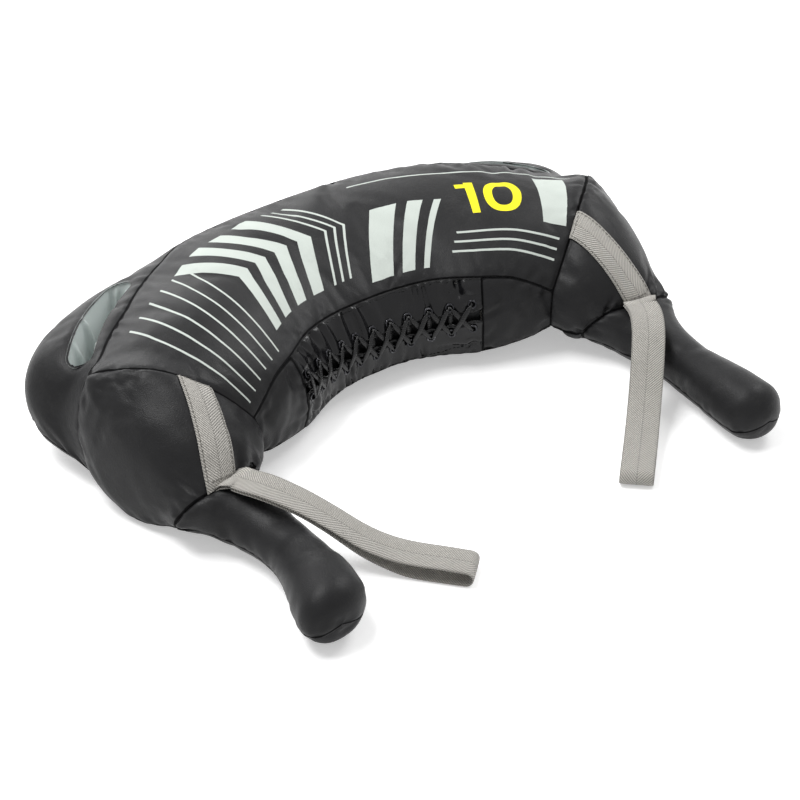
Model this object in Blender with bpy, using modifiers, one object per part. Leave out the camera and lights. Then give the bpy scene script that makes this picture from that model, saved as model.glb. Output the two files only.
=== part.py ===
"""Weighted crescent training bag, lying flat: skins, laced opening, straps, hand slots and fillings.

Metres, +Z up. +X runs across the crescent, +Y towards its convex back, and the two
grips point to -Y. Every piece is an object of its own in the collection of the bag.
"""
import math

import bmesh
import bpy
from mathutils import Vector
from mathutils.bvhtree import BVHTree

# Plan of the crescent: the seams round the top panel, for the half at +X
OUTER_HALF_SPAN = 0.285
OUTER_RISE = 0.159
OUTER_CORNER_Y = 0.069
OUTER_HEIGHT = 0.112
INNER_HALF_SPAN = 0.176
INNER_RISE = 0.077
INNER_CORNER_Y = -0.022
INNER_HEIGHT = 0.088

# Lower seams: the inner one leans out under the laced wall, the outer one runs below the handles
INNER_LEAN = 0.0185
LOW_INNER_HEIGHT = 0.016
HANDLE_REACH = 0.023
LOW_OUTER_HALF_SPAN = OUTER_HALF_SPAN + HANDLE_REACH
HANDLE_SEAM_HEIGHT = 0.046

# How far each panel swells between its seams
TOP_CROWN = 0.030
OUTER_CROWN = 0.012
HANDLE_CROWN = 0.043
HANDLE_SAG = 0.022
BOTTOM_CROWN = 0.045
BOTTOM_ROLL = 0.024
INNER_CROWN = 0.010
FLOOR_BLEND = 0.006
CORE_CROWN = 0.005
CORE_SHARE = 0.8

# Cloth and the clearances that sewn pieces keep in this model
SKIN = 0.0010
SEAM_CLEARANCE = 0.0009
TOUCH_CLEARANCE = 0.0003
LINING_CLOTH = 0.0006
CUT_OVERRUN = 0.030

# Hand slots through the bag, beside the outer seam
SLOT_OFFSET = 0.024
SLOT_WIDTH = 0.024
SLOT_START_SHARE = 0.63
SLOT_END_SHARE = 0.895
HANDLE_CORE_OFFSET = 0.053
HANDLE_CORE_RADIUS = 0.021
HANDLE_CORE_CLEARANCE = 0.0040
HANDLE_CORE_RISE = 0.018
HANDLE_CORE_HEIGHT = HANDLE_SEAM_HEIGHT + HANDLE_CORE_RISE
HANDLE_START_SHARE = 0.68
HANDLE_END_SHARE = 0.93

# Laced opening in the concave wall
PLACKET_END_SHARE = 0.62
LACING_HEIGHT = 0.048
LACING_RISE = 0.011
EYELET_ROW_GAP = 0.026
FLAP_GAP = 0.012
EYELET_COUNT = 11
EYELET_SPREAD_SHARE = 0.57
EYELET_BORE = 0.0050
EYELET_WALL = 0.0005
EYELET_FLANGE = 0.0092
EYELET_FLANGE_THICKNESS = 0.0005
EYELET_REACH = 0.0007
EYELET_SEGMENTS = 8
TONGUE_DEPTH = 0.0075
TONGUE_WIDTH = 0.030
TONGUE_CLOTH = 0.0010
LACE_RADIUS = 0.0011

# Lace levels, measured outward from the middle of the flap cloth
LACE_OUTSIDE = 0.0027
LACE_INSIDE = -0.0030
LACE_OVER_START = 0.0046
LACE_OVER_END = -0.0021
LACE_UNDER_START = 0.0022
LACE_UNDER_END = -0.0046
LACE_TAIL = 0.006

# Yoke and the leaning ring seam where a grip is sewn on
RING_X = 0.240
RING_Y = -0.058
RING_HEIGHT = 0.034
RING_HALF_WIDTH = 0.0435
RING_HALF_HEIGHT = 0.032
RING_YAW = math.radians(-10.0)
RING_LEAN = math.radians(30.0)
YOKE_CROWN = 0.020
RING_ANGLES = {
    "inner": (math.radians(190.0), math.radians(145.0)),
    "top": (math.radians(145.0), math.radians(5.0)),
    "outer": (math.radians(5.0), math.radians(-35.0)),
    "bottom": (math.radians(-35.0), math.radians(-170.0)),
}

# Grips: a sleeve that narrows to a neck and swells to a bulb
GRIP_LENGTH = 0.206
GRIP_HALF_SPAN = 0.244
GRIP_CAP = 0.026
NECK_RADIUS = 0.0245
NECK_HEIGHT = 0.028
BULB_RADIUS = 0.0312
FLOOR_CLEARANCE = 0.0006
GRIP_SEAM_ANGLE = math.radians(-20.0)
GRIP_BOW = {-1: 0.023, 1: 0.0}
GRIP_CAP_START_SHARE = 0.78
GRIP_TIP_SHARE = 0.04

# Webbing: a sewn length on each yoke and a free loop below it
WEBBING_WIDTH = 0.032
WEBBING_THICKNESS = 0.0016
WEBBING_TOP_SHARE = 0.43
WEBBING_ROW_SHARE = 0.96
LOOP_CLEARANCE = 0.0035
LOOP_HEIGHT = RING_HEIGHT + RING_HALF_HEIGHT + LOOP_CLEARANCE
LOOP_ROOT_OFFSET = 0.0026
LOOP_ROOT_DROP = 0.031
LOOP_ROOT = Vector((GRIP_HALF_SPAN + LOOP_ROOT_OFFSET, RING_Y - LOOP_ROOT_DROP, LOOP_HEIGHT))
LOOP_SWERVE = 0.013
LOOP_SWERVE_LENGTH = 0.025
LOOP_ROOT_SHIFT = {-1: Vector((-0.0090, 0.0, 0.0)), 1: Vector((0.0, 0.0, 0.0))}
LOOP_LENGTH = {-1: 0.222, 1: 0.214}
LOOP_BEARING = math.radians(227.5)
LOOP_FOLD_SHARE = 0.95

# Fillings
WADDING_INSET = 0.0016
WADDING_THICKNESS = 0.007
FILLER_INSET = 0.0135
FILLER_GAP = 0.0010
FILLER_END_SHARE = 0.97
FILLER_COUNT = 5
GRIP_CORE_INSET = 0.0018
GRIP_CORE_END_SHARE = 0.87
YOKE_CORE_INSET = 0.0040
YOKE_CORE_START_SHARE = 0.05
YOKE_CORE_END_SHARE = 0.88

# Stations along each half and what the rails are there, as shares of the sizes above
OUTER_TOP_SHARES = (
    (0.00, 0.00, 1.000, 0.96),
    (0.20, 0.20, 0.980, 0.97),
    (0.40, 0.41, 0.890, 1.01),
    (0.60, 0.62, 0.710, 1.04),
    (0.78, 0.79, 0.450, 1.04),
    (0.90, 0.90, 0.235, 1.03),
    (1.00, 1.00, 0.000, 1.00),
)
INNER_TOP_SHARES = (
    (0.00, 0.00, 1.00, 1.00),
    (0.20, 0.21, 0.96, 1.01),
    (0.40, 0.42, 0.77, 1.06),
    (0.60, 0.61, 0.46, 1.09),
    (0.78, 0.78, 0.24, 1.06),
    (0.90, 0.89, 0.10, 0.96),
    (1.00, 1.00, 0.00, 0.82),
)
LOW_OUTER_SHARES = (
    (0.00, 0.00, 1.050, 0.30),
    (0.20, 0.20, 1.050, 0.33),
    (0.40, 0.40, 1.010, 0.48),
    (0.60, 0.64, 0.900, 0.83),
    (0.78, 0.91, 0.680, 1.00),
    (0.90, 1.05, 0.340, 0.80),
    (1.00, 0.95, -0.260, 0.38),
)
LOW_INNER_SHARES = (
    (0.00, 1.25, 1.0),
    (0.40, 1.10, 1.0),
    (0.60, 0.75, 1.0),
    (0.78, 0.35, 1.1),
    (0.90, 0.10, 1.4),
    (1.00, 0.00, 2.0),
)
CROWN_SHARES = (
    (0.00, 0.75, 1.00, 0.00, 1.00, 0.00),
    (0.20, 0.76, 1.00, 0.00, 1.00, 0.00),
    (0.40, 0.80, 1.00, 0.25, 1.00, 0.25),
    (0.60, 0.85, 1.00, 0.75, 1.00, 0.75),
    (0.78, 0.92, 0.90, 1.00, 1.00, 1.00),
    (0.90, 0.97, 0.80, 0.98, 0.80, 1.10),
    (1.00, 1.00, 0.60, 0.35, 0.45, 1.35),
)
GRIP_BLEND_SHARES = (
    (0.00, 1.00, 0.00, 0.00),
    (0.12, 0.62, 0.38, 0.00),
    (0.24, 0.24, 0.76, 0.00),
    (0.36, 0.04, 0.94, 0.02),
    (0.48, 0.00, 0.92, 0.08),
    (0.62, 0.00, 0.58, 0.42),
    (0.78, 0.00, 0.08, 0.92),
    (1.00, 0.00, 0.00, 1.00),
)
GRIP_BOW_SHARES = (
    (0.00, 0.00),
    (0.16, 0.55),
    (0.33, 0.93),
    (0.50, 1.00),
    (0.67, 0.80),
    (0.84, 0.42),
    (1.00, 0.12),
)
LOOP_TOP_SHARES = {
    1: ((0.00, 0.98), (0.10, 1.00), (0.22, 0.94), (0.34, 0.76), (0.50, 0.46), (0.68, 0.30),
        (0.86, 0.24), (0.95, 0.23)),
    -1: ((0.00, 0.98), (0.12, 1.00), (0.26, 0.88), (0.38, 0.69), (0.52, 0.43), (0.62, 0.31),
         (0.72, 0.26), (0.86, 0.25), (0.95, 0.24)),
}
LOOP_LOW_SHARES = {
    1: ((0.00, 0.94), (0.10, 0.96), (0.22, 0.89), (0.34, 0.68), (0.50, 0.28), (0.64, 0.09),
        (0.80, 0.03), (0.95, 0.03)),
    -1: ((0.00, 0.94), (0.12, 0.95), (0.26, 0.83), (0.38, 0.62), (0.52, 0.31), (0.62, 0.15),
         (0.72, 0.05), (0.86, 0.03), (0.95, 0.03)),
}
YOKE_CROWN_SHARES = {
    "inner": (0.20, 0.35),
    "top": (0.35, 1.40),
    "outer": (1.40, 1.00),
    "bottom": (1.00, 0.20),
}
HANDLE_TAPER_SHARES = ((0.00, 0.30), (0.20, 0.80), (0.50, 1.00), (0.80, 0.80), (1.00, 0.30))

# Faces along each form
BODY_STEPS = 28
SIDE_STEPS = 6
PLACKET_STEPS = 16
INNER_STEPS = 5
YOKE_STEPS = 5
YOKE_SIDE_STEPS = {"inner": 2, "top": 7, "outer": 5, "bottom": 5}
WEBBING_ROWS = 8
WEBBING_COLUMNS = 4
GRIP_UPPER_STEPS = 8
GRIP_LOWER_STEPS = 6
GRIP_CORE_STEPS = 8
GRIP_STEPS = 8
GRIP_CAP_STEPS = 4
LOOP_STEPS = 11
LOOP_FOLD_STEPS = 6
SLOT_STEPS = 7
SLOT_END_STEPS = 3
LINING_STEPS = 2
CORE_SIDE_STEPS = 3
CORE_STEPS = 18
WEIGHT_BAG_STEPS = 5
HANDLE_RING_STEPS = 8
HANDLE_STEPS = 8

COLLECTION_NAME = "training_bag"
SIDES = {-1: "left", 1: "right"}


def follow(rows, station, odd=0):
    """Smooth value of a table of shares at a signed station; the first odd columns change sign."""
    flips = [-1.0 if column < odd else 1.0 for column in range(len(rows[0]) - 1)]
    mirrored = [(-row[0],) + tuple(f * v for f, v in zip(flips, row[1:])) for row in reversed(rows)]
    table = mirrored[:-1] + list(rows) if rows[0][0] == 0 else list(rows)
    last = len(table) - 1
    index = 0
    while index < last - 1 and table[index + 1][0] < station:
        index += 1
    left, right = table[index], table[index + 1]
    before, after = table[max(index - 1, 0)], table[min(index + 2, last)]
    span = right[0] - left[0]
    u = (station - left[0]) / span
    result = []
    for column in range(1, len(left)):
        slope_left = (right[column] - before[column]) / (right[0] - before[0]) * span
        slope_right = (after[column] - left[column]) / (after[0] - left[0]) * span
        result.append((2 * u**3 - 3 * u**2 + 1) * left[column] + (u**3 - 2 * u**2 + u) * slope_left
                      + (3 * u**2 - 2 * u**3) * right[column] + (u**3 - u**2) * slope_right)
    return result


def spread(start, end, steps):
    """Evenly spaced values from start to end."""
    return [start + (end - start) * index / steps for index in range(steps + 1)]


# Rails of the crescent

def top_outer(station):
    """Outer seam of the top panel."""
    x, y, z = follow(OUTER_TOP_SHARES, station, odd=1)
    return Vector((x * OUTER_HALF_SPAN, OUTER_CORNER_Y + y * OUTER_RISE, z * OUTER_HEIGHT))


def top_inner(station):
    """Inner seam of the top panel."""
    x, y, z = follow(INNER_TOP_SHARES, station, odd=1)
    return Vector((x * INNER_HALF_SPAN, INNER_CORNER_Y + y * INNER_RISE, z * INNER_HEIGHT))


def radial(station):
    """Level direction across the crescent, outward."""
    across = top_outer(station) - top_inner(station)
    across.z = 0
    return across.normalized()


def low_outer(station):
    """Outer seam of the bottom panel, which rises below the handles."""
    x, y, z = follow(LOW_OUTER_SHARES, station, odd=1)
    return Vector((x * LOW_OUTER_HALF_SPAN, OUTER_CORNER_Y + y * OUTER_RISE, z * HANDLE_SEAM_HEIGHT))


def low_inner(station):
    """Inner seam of the bottom panel."""
    lean, height = follow(LOW_INNER_SHARES, station)
    point = top_inner(station) - radial(station) * lean * INNER_LEAN
    point.z = height * LOW_INNER_HEIGHT
    return point


def core_outer(station):
    """Foot of the straight outer wall that the filling has inside the hand slots."""
    point = top_outer(station)
    point.z = LOW_INNER_HEIGHT
    return point


SIDE_RAILS = {
    "top": (top_inner, top_outer),
    "outer": (top_outer, low_outer),
    "bottom": (low_outer, low_inner),
    "inner": (low_inner, top_inner),
    "core_outer": (top_outer, core_outer),
    "core_bottom": (core_outer, low_inner),
}
STATION_STEP_SHARE = 0.01
ROLL_PEAK = 6.75


def bottom_share(station):
    """Width of the filling's underside as a share of the bottom panel's width."""
    inner = low_inner(station)
    return (core_outer(station) - inner).length / (low_outer(station) - inner).length


def swell(station):
    """Shares of every swell at a station, by name."""
    return dict(zip(("top", "inner", "handle", "bottom", "roll"), follow(CROWN_SHARES, station)))


def crown(side, station):
    """Swell of one side of the section at a station."""
    shares = swell(station)
    underside = shares["bottom"] * BOTTOM_CROWN
    return {
        "top": shares["top"] * TOP_CROWN,
        "inner": shares["inner"] * INNER_CROWN,
        "outer": OUTER_CROWN + shares["handle"] * (HANDLE_CROWN - OUTER_CROWN),
        "bottom": underside,
        "core_outer": CORE_CROWN,
        "core_bottom": underside * bottom_share(station) * CORE_SHARE,
    }[side]


def above_floor(point):
    """Press a point on to the floor plane, with a short rounded lead into it."""
    if point.z < -FLOOR_BLEND:
        point.z = 0
    elif point.z < FLOOR_BLEND:
        point.z = (point.z + FLOOR_BLEND) ** 2 / (FLOOR_BLEND * 4)
    return point


def side_point(side, station, share):
    """Point on one swollen side of the body section."""
    first, second = SIDE_RAILS[side]
    start, end = first(station), second(station)
    ahead = top_inner(station + STATION_STEP_SHARE) + top_outer(station + STATION_STEP_SHARE)
    behind = top_inner(station - STATION_STEP_SHARE) + top_outer(station - STATION_STEP_SHARE)
    outward = (ahead - behind).cross(end - start).normalized()
    point = start.lerp(end, share) + outward * crown(side, station) * 4 * share * (1 - share)
    if side == "bottom":
        roll = swell(station)["roll"] * BOTTOM_ROLL
        point += radial(station) * roll * ROLL_PEAK * share * (1 - share) ** 2
    elif side == "outer":
        point.z -= HANDLE_SAG * swell(station)["handle"] * 4 * share * (1 - share)
    return above_floor(point)


def side_normal(side, station, share):
    """Outward direction of a side at a point."""
    step = STATION_STEP_SHARE
    along = side_point(side, station + step, share) - side_point(side, station - step, share)
    across = side_point(side, station, share + step) - side_point(side, station, share - step)
    return along.cross(across).normalized()


# Scene, materials and meshes

def clear_scene():
    """Remove every object, and the collections of an earlier run."""
    for thing in list(bpy.data.objects):
        bpy.data.objects.remove(thing, do_unlink=True)
    for collection in list(bpy.data.collections):
        bpy.data.collections.remove(collection)


def new_collection(name):
    """Collection linked to the scene."""
    collection = bpy.data.collections.new(name)
    bpy.context.scene.collection.children.link(collection)
    return collection


def finish(name, colour, roughness, metallic=0.0):
    """Plain material with one colour."""
    material = bpy.data.materials.new(name)
    material.use_nodes = True
    shader = material.node_tree.nodes["Principled BSDF"]
    shader.inputs["Base Color"].default_value = (*colour, 1.0)
    shader.inputs["Roughness"].default_value = roughness
    shader.inputs["Metallic"].default_value = metallic
    return material


class Bench:
    """Holds the collections, the frame empty and the material of each object."""

    def __init__(self):
        self.parts = new_collection(COLLECTION_NAME)
        self.cutters = new_collection(COLLECTION_NAME + "_cutters")
        self.frame = bpy.data.objects.new("bag_frame", None)
        self.parts.objects.link(self.frame)

    def add(self, name, mesh_form, look, origin=None, cutter=False):
        """Make one object from a bmesh, with its origin where the piece turns."""
        origin = origin or Vector((0, 0, 0))
        bmesh.ops.translate(mesh_form, verts=mesh_form.verts, vec=-origin)
        mesh = bpy.data.meshes.new(name)
        mesh_form.to_mesh(mesh)
        mesh_form.free()
        piece = bpy.data.objects.new(name, mesh)
        piece.location = origin
        piece.parent = self.frame
        (self.cutters if cutter else self.parts).objects.link(piece)
        if cutter:
            piece.hide_render = True
            piece.display_type = "WIRE"
        else:
            colour, roughness, metallic = look
            mesh.materials.append(finish(name + "_finish", colour, roughness, metallic))
            for face in mesh.polygons:
                face.use_smooth = True
        return piece


LEATHER = ((0.035, 0.035, 0.037), 0.5, 0.0)
GLOSS = ((0.02, 0.02, 0.022), 0.3, 0.0)
SATIN = ((0.33, 0.37, 0.36), 0.4, 0.0)
WEBBING = ((0.45, 0.43, 0.40), 0.8, 0.0)
STEEL = ((0.05, 0.05, 0.055), 0.35, 0.9)
FOAM = ((0.75, 0.74, 0.70), 0.95, 0.0)
CANVAS = ((0.42, 0.36, 0.27), 0.9, 0.0)


def loft(form, rows, flip, ring):
    """Faces between rows of points; ring joins the last point of each row to the first."""
    lines = [[form.verts.new(point) for point in row] for row in rows]
    width = len(rows[0])
    for line, following in zip(lines, lines[1:]):
        for index in range(width if ring else width - 1):
            beside = (index + 1) % width
            corners = [line[index], following[index], following[beside], line[beside]]
            form.faces.new(reversed(corners) if flip else corners)
    return lines


def grid_form(rows, flip=False, ring=False):
    """Open surface through rows of points."""
    form = bmesh.new()
    loft(form, rows, flip, ring)
    return form


def solid_form(rows):
    """Closed loft through rings of points, capped at both ends."""
    form = bmesh.new()
    lines = loft(form, rows, False, True)
    form.faces.new(lines[0])
    form.faces.new(list(reversed(lines[-1])))
    bmesh.ops.recalc_face_normals(form, faces=form.faces)
    return form


def thicken(piece, thickness, offset=-1.0):
    """Give a sheet its cloth thickness."""
    shell = piece.modifiers.new("cloth", "SOLIDIFY")
    shell.thickness = thickness
    shell.offset = offset
    shell.use_even_offset = False
    shell.use_quality_normals = True
    return shell


def cut(piece, cutter):
    """Subtract a cutter from a piece."""
    boolean = piece.modifiers.new("cut", "BOOLEAN")
    boolean.operation = "DIFFERENCE"
    boolean.solver = "EXACT"
    boolean.object = cutter


def trimmed(side, station, low=True, high=True):
    """Share range of a side, drawn in from its seams by the seam clearance."""
    first, second = SIDE_RAILS[side]
    margin = SEAM_CLEARANCE / (second(station) - first(station)).length
    return (margin if low else 0.0), (1.0 - margin if high else 1.0)


def body_rows(side, start, end, along_steps, across_steps, low=None, high=None):
    """Rows of points over a side of the body, between two stations."""
    rows = []
    for station in spread(start, end, along_steps):
        begin, finish_share = trimmed(side, station)
        begin = begin if low is None else low(station)
        finish_share = finish_share if high is None else high(station)
        rows.append([side_point(side, station, share)
                     for share in spread(begin, finish_share, across_steps)])
    return rows


def end_trim():
    """Station clearance that keeps a panel off the seam across its end."""
    step = (top_outer(1.0) - top_outer(1.0 - STATION_STEP_SHARE)).length
    return SEAM_CLEARANCE / step * STATION_STEP_SHARE


# Body skins and hand slots

def slot_points(hand, offset, half_width, extra=0.0):
    """Outline of a hand slot in plan: two concentric edges joined by round ends."""
    stations = spread(SLOT_START_SHARE, SLOT_END_SHARE, SLOT_STEPS)
    middle = []
    for station in stations:
        step = STATION_STEP_SHARE
        along = (top_outer(station + step) - top_outer(station - step)).normalized()
        outward = Vector((-along.y, along.x, 0)).normalized()
        middle.append((top_outer(station) + outward * offset, along, outward))
    radius = half_width + extra
    outline = [point + outward * radius for point, along, outward in middle]
    point, along, outward = middle[-1]
    for turn in spread(0, math.pi, SLOT_END_STEPS * 2)[1:-1]:
        outline.append(point + outward * radius * math.cos(turn) + along * radius * math.sin(turn))
    outline += [point - outward * radius for point, along, outward in reversed(middle)]
    point, along, outward = middle[0]
    for turn in spread(0, math.pi, SLOT_END_STEPS * 2)[1:-1]:
        outline.append(point - outward * radius * math.cos(turn) - along * radius * math.sin(turn))
    return [Vector((hand * point.x, point.y, 0)) for point in outline]


def slot_cutter(bench, hand):
    """Upright prism that opens the skins for a hand slot."""
    outline = slot_points(hand, SLOT_OFFSET, SLOT_WIDTH / 2)
    low, high = -CUT_OVERRUN, OUTER_HEIGHT + TOP_CROWN + CUT_OVERRUN
    rows = [[Vector((point.x, point.y, height)) for point in outline] for height in (low, high)]
    return bench.add(SIDES[hand] + "_slot_cutter", solid_form(rows), None, cutter=True)


def body_skins(bench):
    """Top, bottom and outer side panels, the last two opened by the hand slots."""
    reach = 1.0 - end_trim()
    pieces = {}
    for side, name in (("top", "top_panel"), ("bottom", "bottom_panel"), ("outer", "outer_side_panel")):
        form = grid_form(body_rows(side, -reach, reach, BODY_STEPS, SIDE_STEPS))
        pieces[side] = bench.add(name, form, LEATHER)
        thicken(pieces[side], SKIN)
    for hand in SIDES:
        cutter = slot_cutter(bench, hand)
        cut(pieces["bottom"], cutter)
        cut(pieces["outer"], cutter)


def skin_tree(side):
    """Uncut skin surface to cast rays at."""
    rows = body_rows(side, -1.0, 1.0, BODY_STEPS, SIDE_STEPS)
    vertices = [point for row in rows for point in row]
    width = SIDE_STEPS + 1
    faces = [(row * width + column, (row + 1) * width + column,
              (row + 1) * width + column + 1, row * width + column + 1)
             for row in range(BODY_STEPS) for column in range(SIDE_STEPS)]
    return BVHTree.FromPolygons(vertices, faces)


def slot_linings(bench):
    """Satin tunnels from the top skin to the bottom skin."""
    outer, bottom = skin_tree("outer"), skin_tree("bottom")
    ceiling = OUTER_HEIGHT + TOP_CROWN + CUT_OVERRUN
    for hand, word in SIDES.items():
        outline = slot_points(hand, SLOT_OFFSET, SLOT_WIDTH / 2, extra=-TOUCH_CLEARANCE)
        rows = [[] for level in range(LINING_STEPS + 1)]
        for point in outline:
            above = Vector((point.x, point.y, ceiling))
            below = Vector((point.x, point.y, -CUT_OVERRUN))
            high = outer.ray_cast(above, Vector((0, 0, -1)))[0].z
            low = bottom.ray_cast(below, Vector((0, 0, 1)))[0].z
            for level, height in enumerate(spread(low, high, LINING_STEPS)):
                rows[level].append(Vector((point.x, point.y, height)))
        form = grid_form(rows, flip=hand < 0, ring=True)
        piece = bench.add(word + "_slot_lining", form, SATIN)
        thicken(piece, LINING_CLOTH)


def handle_cores(bench):
    """Foam rolls inside the two padded handles, fitted to the skin round them."""
    trees = (skin_tree("outer"), skin_tree("bottom"))
    wall = HANDLE_CORE_OFFSET - SLOT_OFFSET - SLOT_WIDTH / 2 - HANDLE_CORE_CLEARANCE
    for hand, word in SIDES.items():
        rings = []
        for share in spread(0.0, 1.0, HANDLE_STEPS):
            station = HANDLE_START_SHARE + share * (HANDLE_END_SHARE - HANDLE_START_SHARE)
            step = STATION_STEP_SHARE
            along = (top_outer(station + step) - top_outer(station - step)).normalized()
            outward = Vector((-along.y, along.x, 0)).normalized()
            centre = top_outer(station) + outward * HANDLE_CORE_OFFSET
            centre.z = HANDLE_CORE_HEIGHT
            taper = follow(HANDLE_TAPER_SHARES, share)[0]
            ring = []
            for turn in spread(0, 2 * math.pi, HANDLE_RING_STEPS)[:-1]:
                ray = outward * math.cos(turn) + Vector((0, 0, math.sin(turn)))
                reach = HANDLE_CORE_RADIUS * taper
                for tree in trees:
                    distance = tree.ray_cast(centre, ray)[-1]
                    if distance is not None:
                        reach = min(reach, distance - HANDLE_CORE_CLEARANCE)
                if math.cos(turn) < 0:
                    reach = min(reach, wall / -math.cos(turn))
                point = centre + ray * reach
                ring.append(Vector((hand * point.x, point.y, point.z)))
            rings.append(ring)
        bench.add(word + "_handle_core", solid_form(rings), FOAM)


# Laced opening

def height_share(station, height):
    """Share up the inner wall at a height above the floor."""
    low, high = low_inner(station).z, top_inner(station).z
    return (height - low) / (high - low)


def lacing_share(station, above):
    """Share up the inner wall at a height above the middle of the lacing, which rises to its ends."""
    middle = LACING_HEIGHT + LACING_RISE * (station / EYELET_SPREAD_SHARE) ** 2
    return height_share(station, middle + above)


def eyelet_place(column, row):
    """Station and share of one eyelet; row is 1 above the gap and -1 below it."""
    station = EYELET_SPREAD_SHARE * (2 * column / (EYELET_COUNT - 1) - 1)
    return station, lacing_share(station, row * EYELET_ROW_GAP / 2)


def wall_place(station, share):
    """Point on the inner wall, and the direction out of it."""
    return side_point("inner", station, share), side_normal("inner", station, share)


def wall_level(station, share, level):
    """Point at a level from the middle of the flap cloth."""
    point, normal = wall_place(station, share)
    return point + normal * (level - SKIN / 2)


def hole_cutter(bench, row, name):
    """One mesh of short cylinders, one for each eyelet hole of a flap."""
    form = bmesh.new()
    hole = EYELET_BORE / 2 + EYELET_WALL + TOUCH_CLEARANCE
    depth = EYELET_FLANGE
    for column in range(EYELET_COUNT):
        station, share = eyelet_place(column, row)
        point, normal = wall_place(station, share)
        made = bmesh.ops.create_cone(form, cap_ends=True, segments=EYELET_SEGMENTS,
                                     radius1=hole, radius2=hole, depth=depth)
        turn = normal.to_track_quat("Z", "Y")
        bmesh.ops.rotate(form, verts=made["verts"], cent=Vector((0, 0, 0)), matrix=turn.to_matrix())
        bmesh.ops.translate(form, verts=made["verts"], vec=point)
    return bench.add(name, form, None, cutter=True)


def placket_flaps(bench):
    """Upper and lower flap of the opening, each with its row of holes."""
    reach = PLACKET_END_SHARE - end_trim()
    upper = body_rows("inner", -reach, reach, PLACKET_STEPS, 3,
                      low=lambda s: lacing_share(s, FLAP_GAP / 2))
    lower = body_rows("inner", -reach, reach, PLACKET_STEPS, 2,
                      high=lambda s: lacing_share(s, -FLAP_GAP / 2))
    for rows, name, row in ((upper, "placket_upper", 1), (lower, "placket_lower", -1)):
        form = grid_form(rows)
        piece = bench.add(name, form, GLOSS)
        thicken(piece, SKIN)
        cut(piece, hole_cutter(bench, row, name + "_holes"))


def lacing_tongue(bench):
    """Cloth behind the lacing gap that keeps the filling in."""
    reach = PLACKET_END_SHARE - end_trim()
    rows = []
    for station in spread(-reach, reach, PLACKET_STEPS // 2):
        shares = [lacing_share(station, above)
                  for above in spread(-TONGUE_WIDTH / 2, TONGUE_WIDTH / 2, 2)]
        rows.append([wall_level(station, share, -TONGUE_DEPTH) for share in shares])
    form = grid_form(rows)
    thicken(bench.add("lacing_tongue", form, LEATHER), TONGUE_CLOTH)


def eyelet_profile():
    """Section of an eyelet beside its axis: a flange on the cloth and a barrel through it."""
    bore, barrel = EYELET_BORE / 2, EYELET_BORE / 2 + EYELET_WALL
    seat = SKIN / 2 + TOUCH_CLEARANCE
    top, foot = seat + EYELET_FLANGE_THICKNESS, -SKIN / 2 - EYELET_REACH
    return [(bore, foot), (barrel, foot), (barrel, seat),
            (EYELET_FLANGE / 2, seat), (EYELET_FLANGE / 2, top), (bore, top)]


def eyelets(bench):
    """Turned eyelets in both flaps."""
    for row, word in ((1, "upper"), (-1, "lower")):
        for column in range(EYELET_COUNT):
            form = bmesh.new()
            corners = [form.verts.new((x, 0, z)) for x, z in eyelet_profile()]
            for corner, following in zip(corners, corners[1:] + corners[:1]):
                form.edges.new((corner, following))
            station, share = eyelet_place(column, row)
            point, normal = wall_place(station, share)
            piece = bench.add(f"eyelet_{word}_{column + 1:02d}", form, STEEL)
            piece.rotation_mode = "QUATERNION"
            piece.rotation_quaternion = normal.to_track_quat("Z", "Y")
            piece.location = point - normal * SKIN / 2
            turn = piece.modifiers.new("turn", "SCREW")
            turn.axis = "Z"
            turn.steps = EYELET_SEGMENTS
            turn.render_steps = EYELET_SEGMENTS
            turn.use_merge_vertices = True
            turn.merge_threshold = TOUCH_CLEARANCE / 10
            turn.use_normal_flip = True


def lace_route():
    """Points of the one lace, criss-crossed from the right end to the left and back."""
    margin = (EYELET_ROW_GAP - FLAP_GAP) / 2 / EYELET_ROW_GAP

    def at(column, row, level):
        station, share = eyelet_place(column, row)
        return wall_level(station, share, level)

    def between(start, end, part, level):
        first, last = eyelet_place(*start), eyelet_place(*end)
        station = first[0] + (last[0] - first[0]) * part
        share = first[1] + (last[1] - first[1]) * part
        return wall_level(station, share, level)

    def crossing(start, end, over):
        levels = (LACE_OVER_START, LACE_OVER_END) if over else (LACE_UNDER_START, LACE_UNDER_END)
        return [at(*start, LACE_OUTSIDE), between(start, end, margin, levels[0]),
                between(start, end, 1 - margin, levels[1]), at(*end, LACE_INSIDE)]

    last = EYELET_COUNT - 1
    places = [(column, 1 if (last - column) % 2 == 0 else -1) for column in range(last, -1, -1)]
    tail = (at(*places[0], LACE_INSIDE) - at(*places[2], LACE_INSIDE)).normalized() * LACE_TAIL
    route = [at(*places[0], LACE_INSIDE) + tail, at(*places[0], LACE_INSIDE)]
    for start, end in zip(places, places[1:]):
        route += crossing(start, end, over=True)
    first = places[-1]
    opposite = (first[0], -first[1])
    route += [at(*first, LACE_OUTSIDE), between(first, opposite, margin, LACE_OVER_START),
              between(first, opposite, 1 - margin, LACE_OVER_START), at(*opposite, LACE_OUTSIDE),
              at(*opposite, LACE_INSIDE)]
    back = [(column, -row) for column, row in reversed(places)]
    route += [between(back[0], back[1], margin, LACE_UNDER_END),
              between(back[0], back[1], 1 - margin, LACE_UNDER_END), at(*back[1], LACE_INSIDE)]
    for start, end in zip(back[1:], back[2:]):
        route += crossing(start, end, over=False)
    route += [at(*back[-1], LACE_OUTSIDE), at(*back[-1], LACE_OUTSIDE) + tail]
    return route


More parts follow.
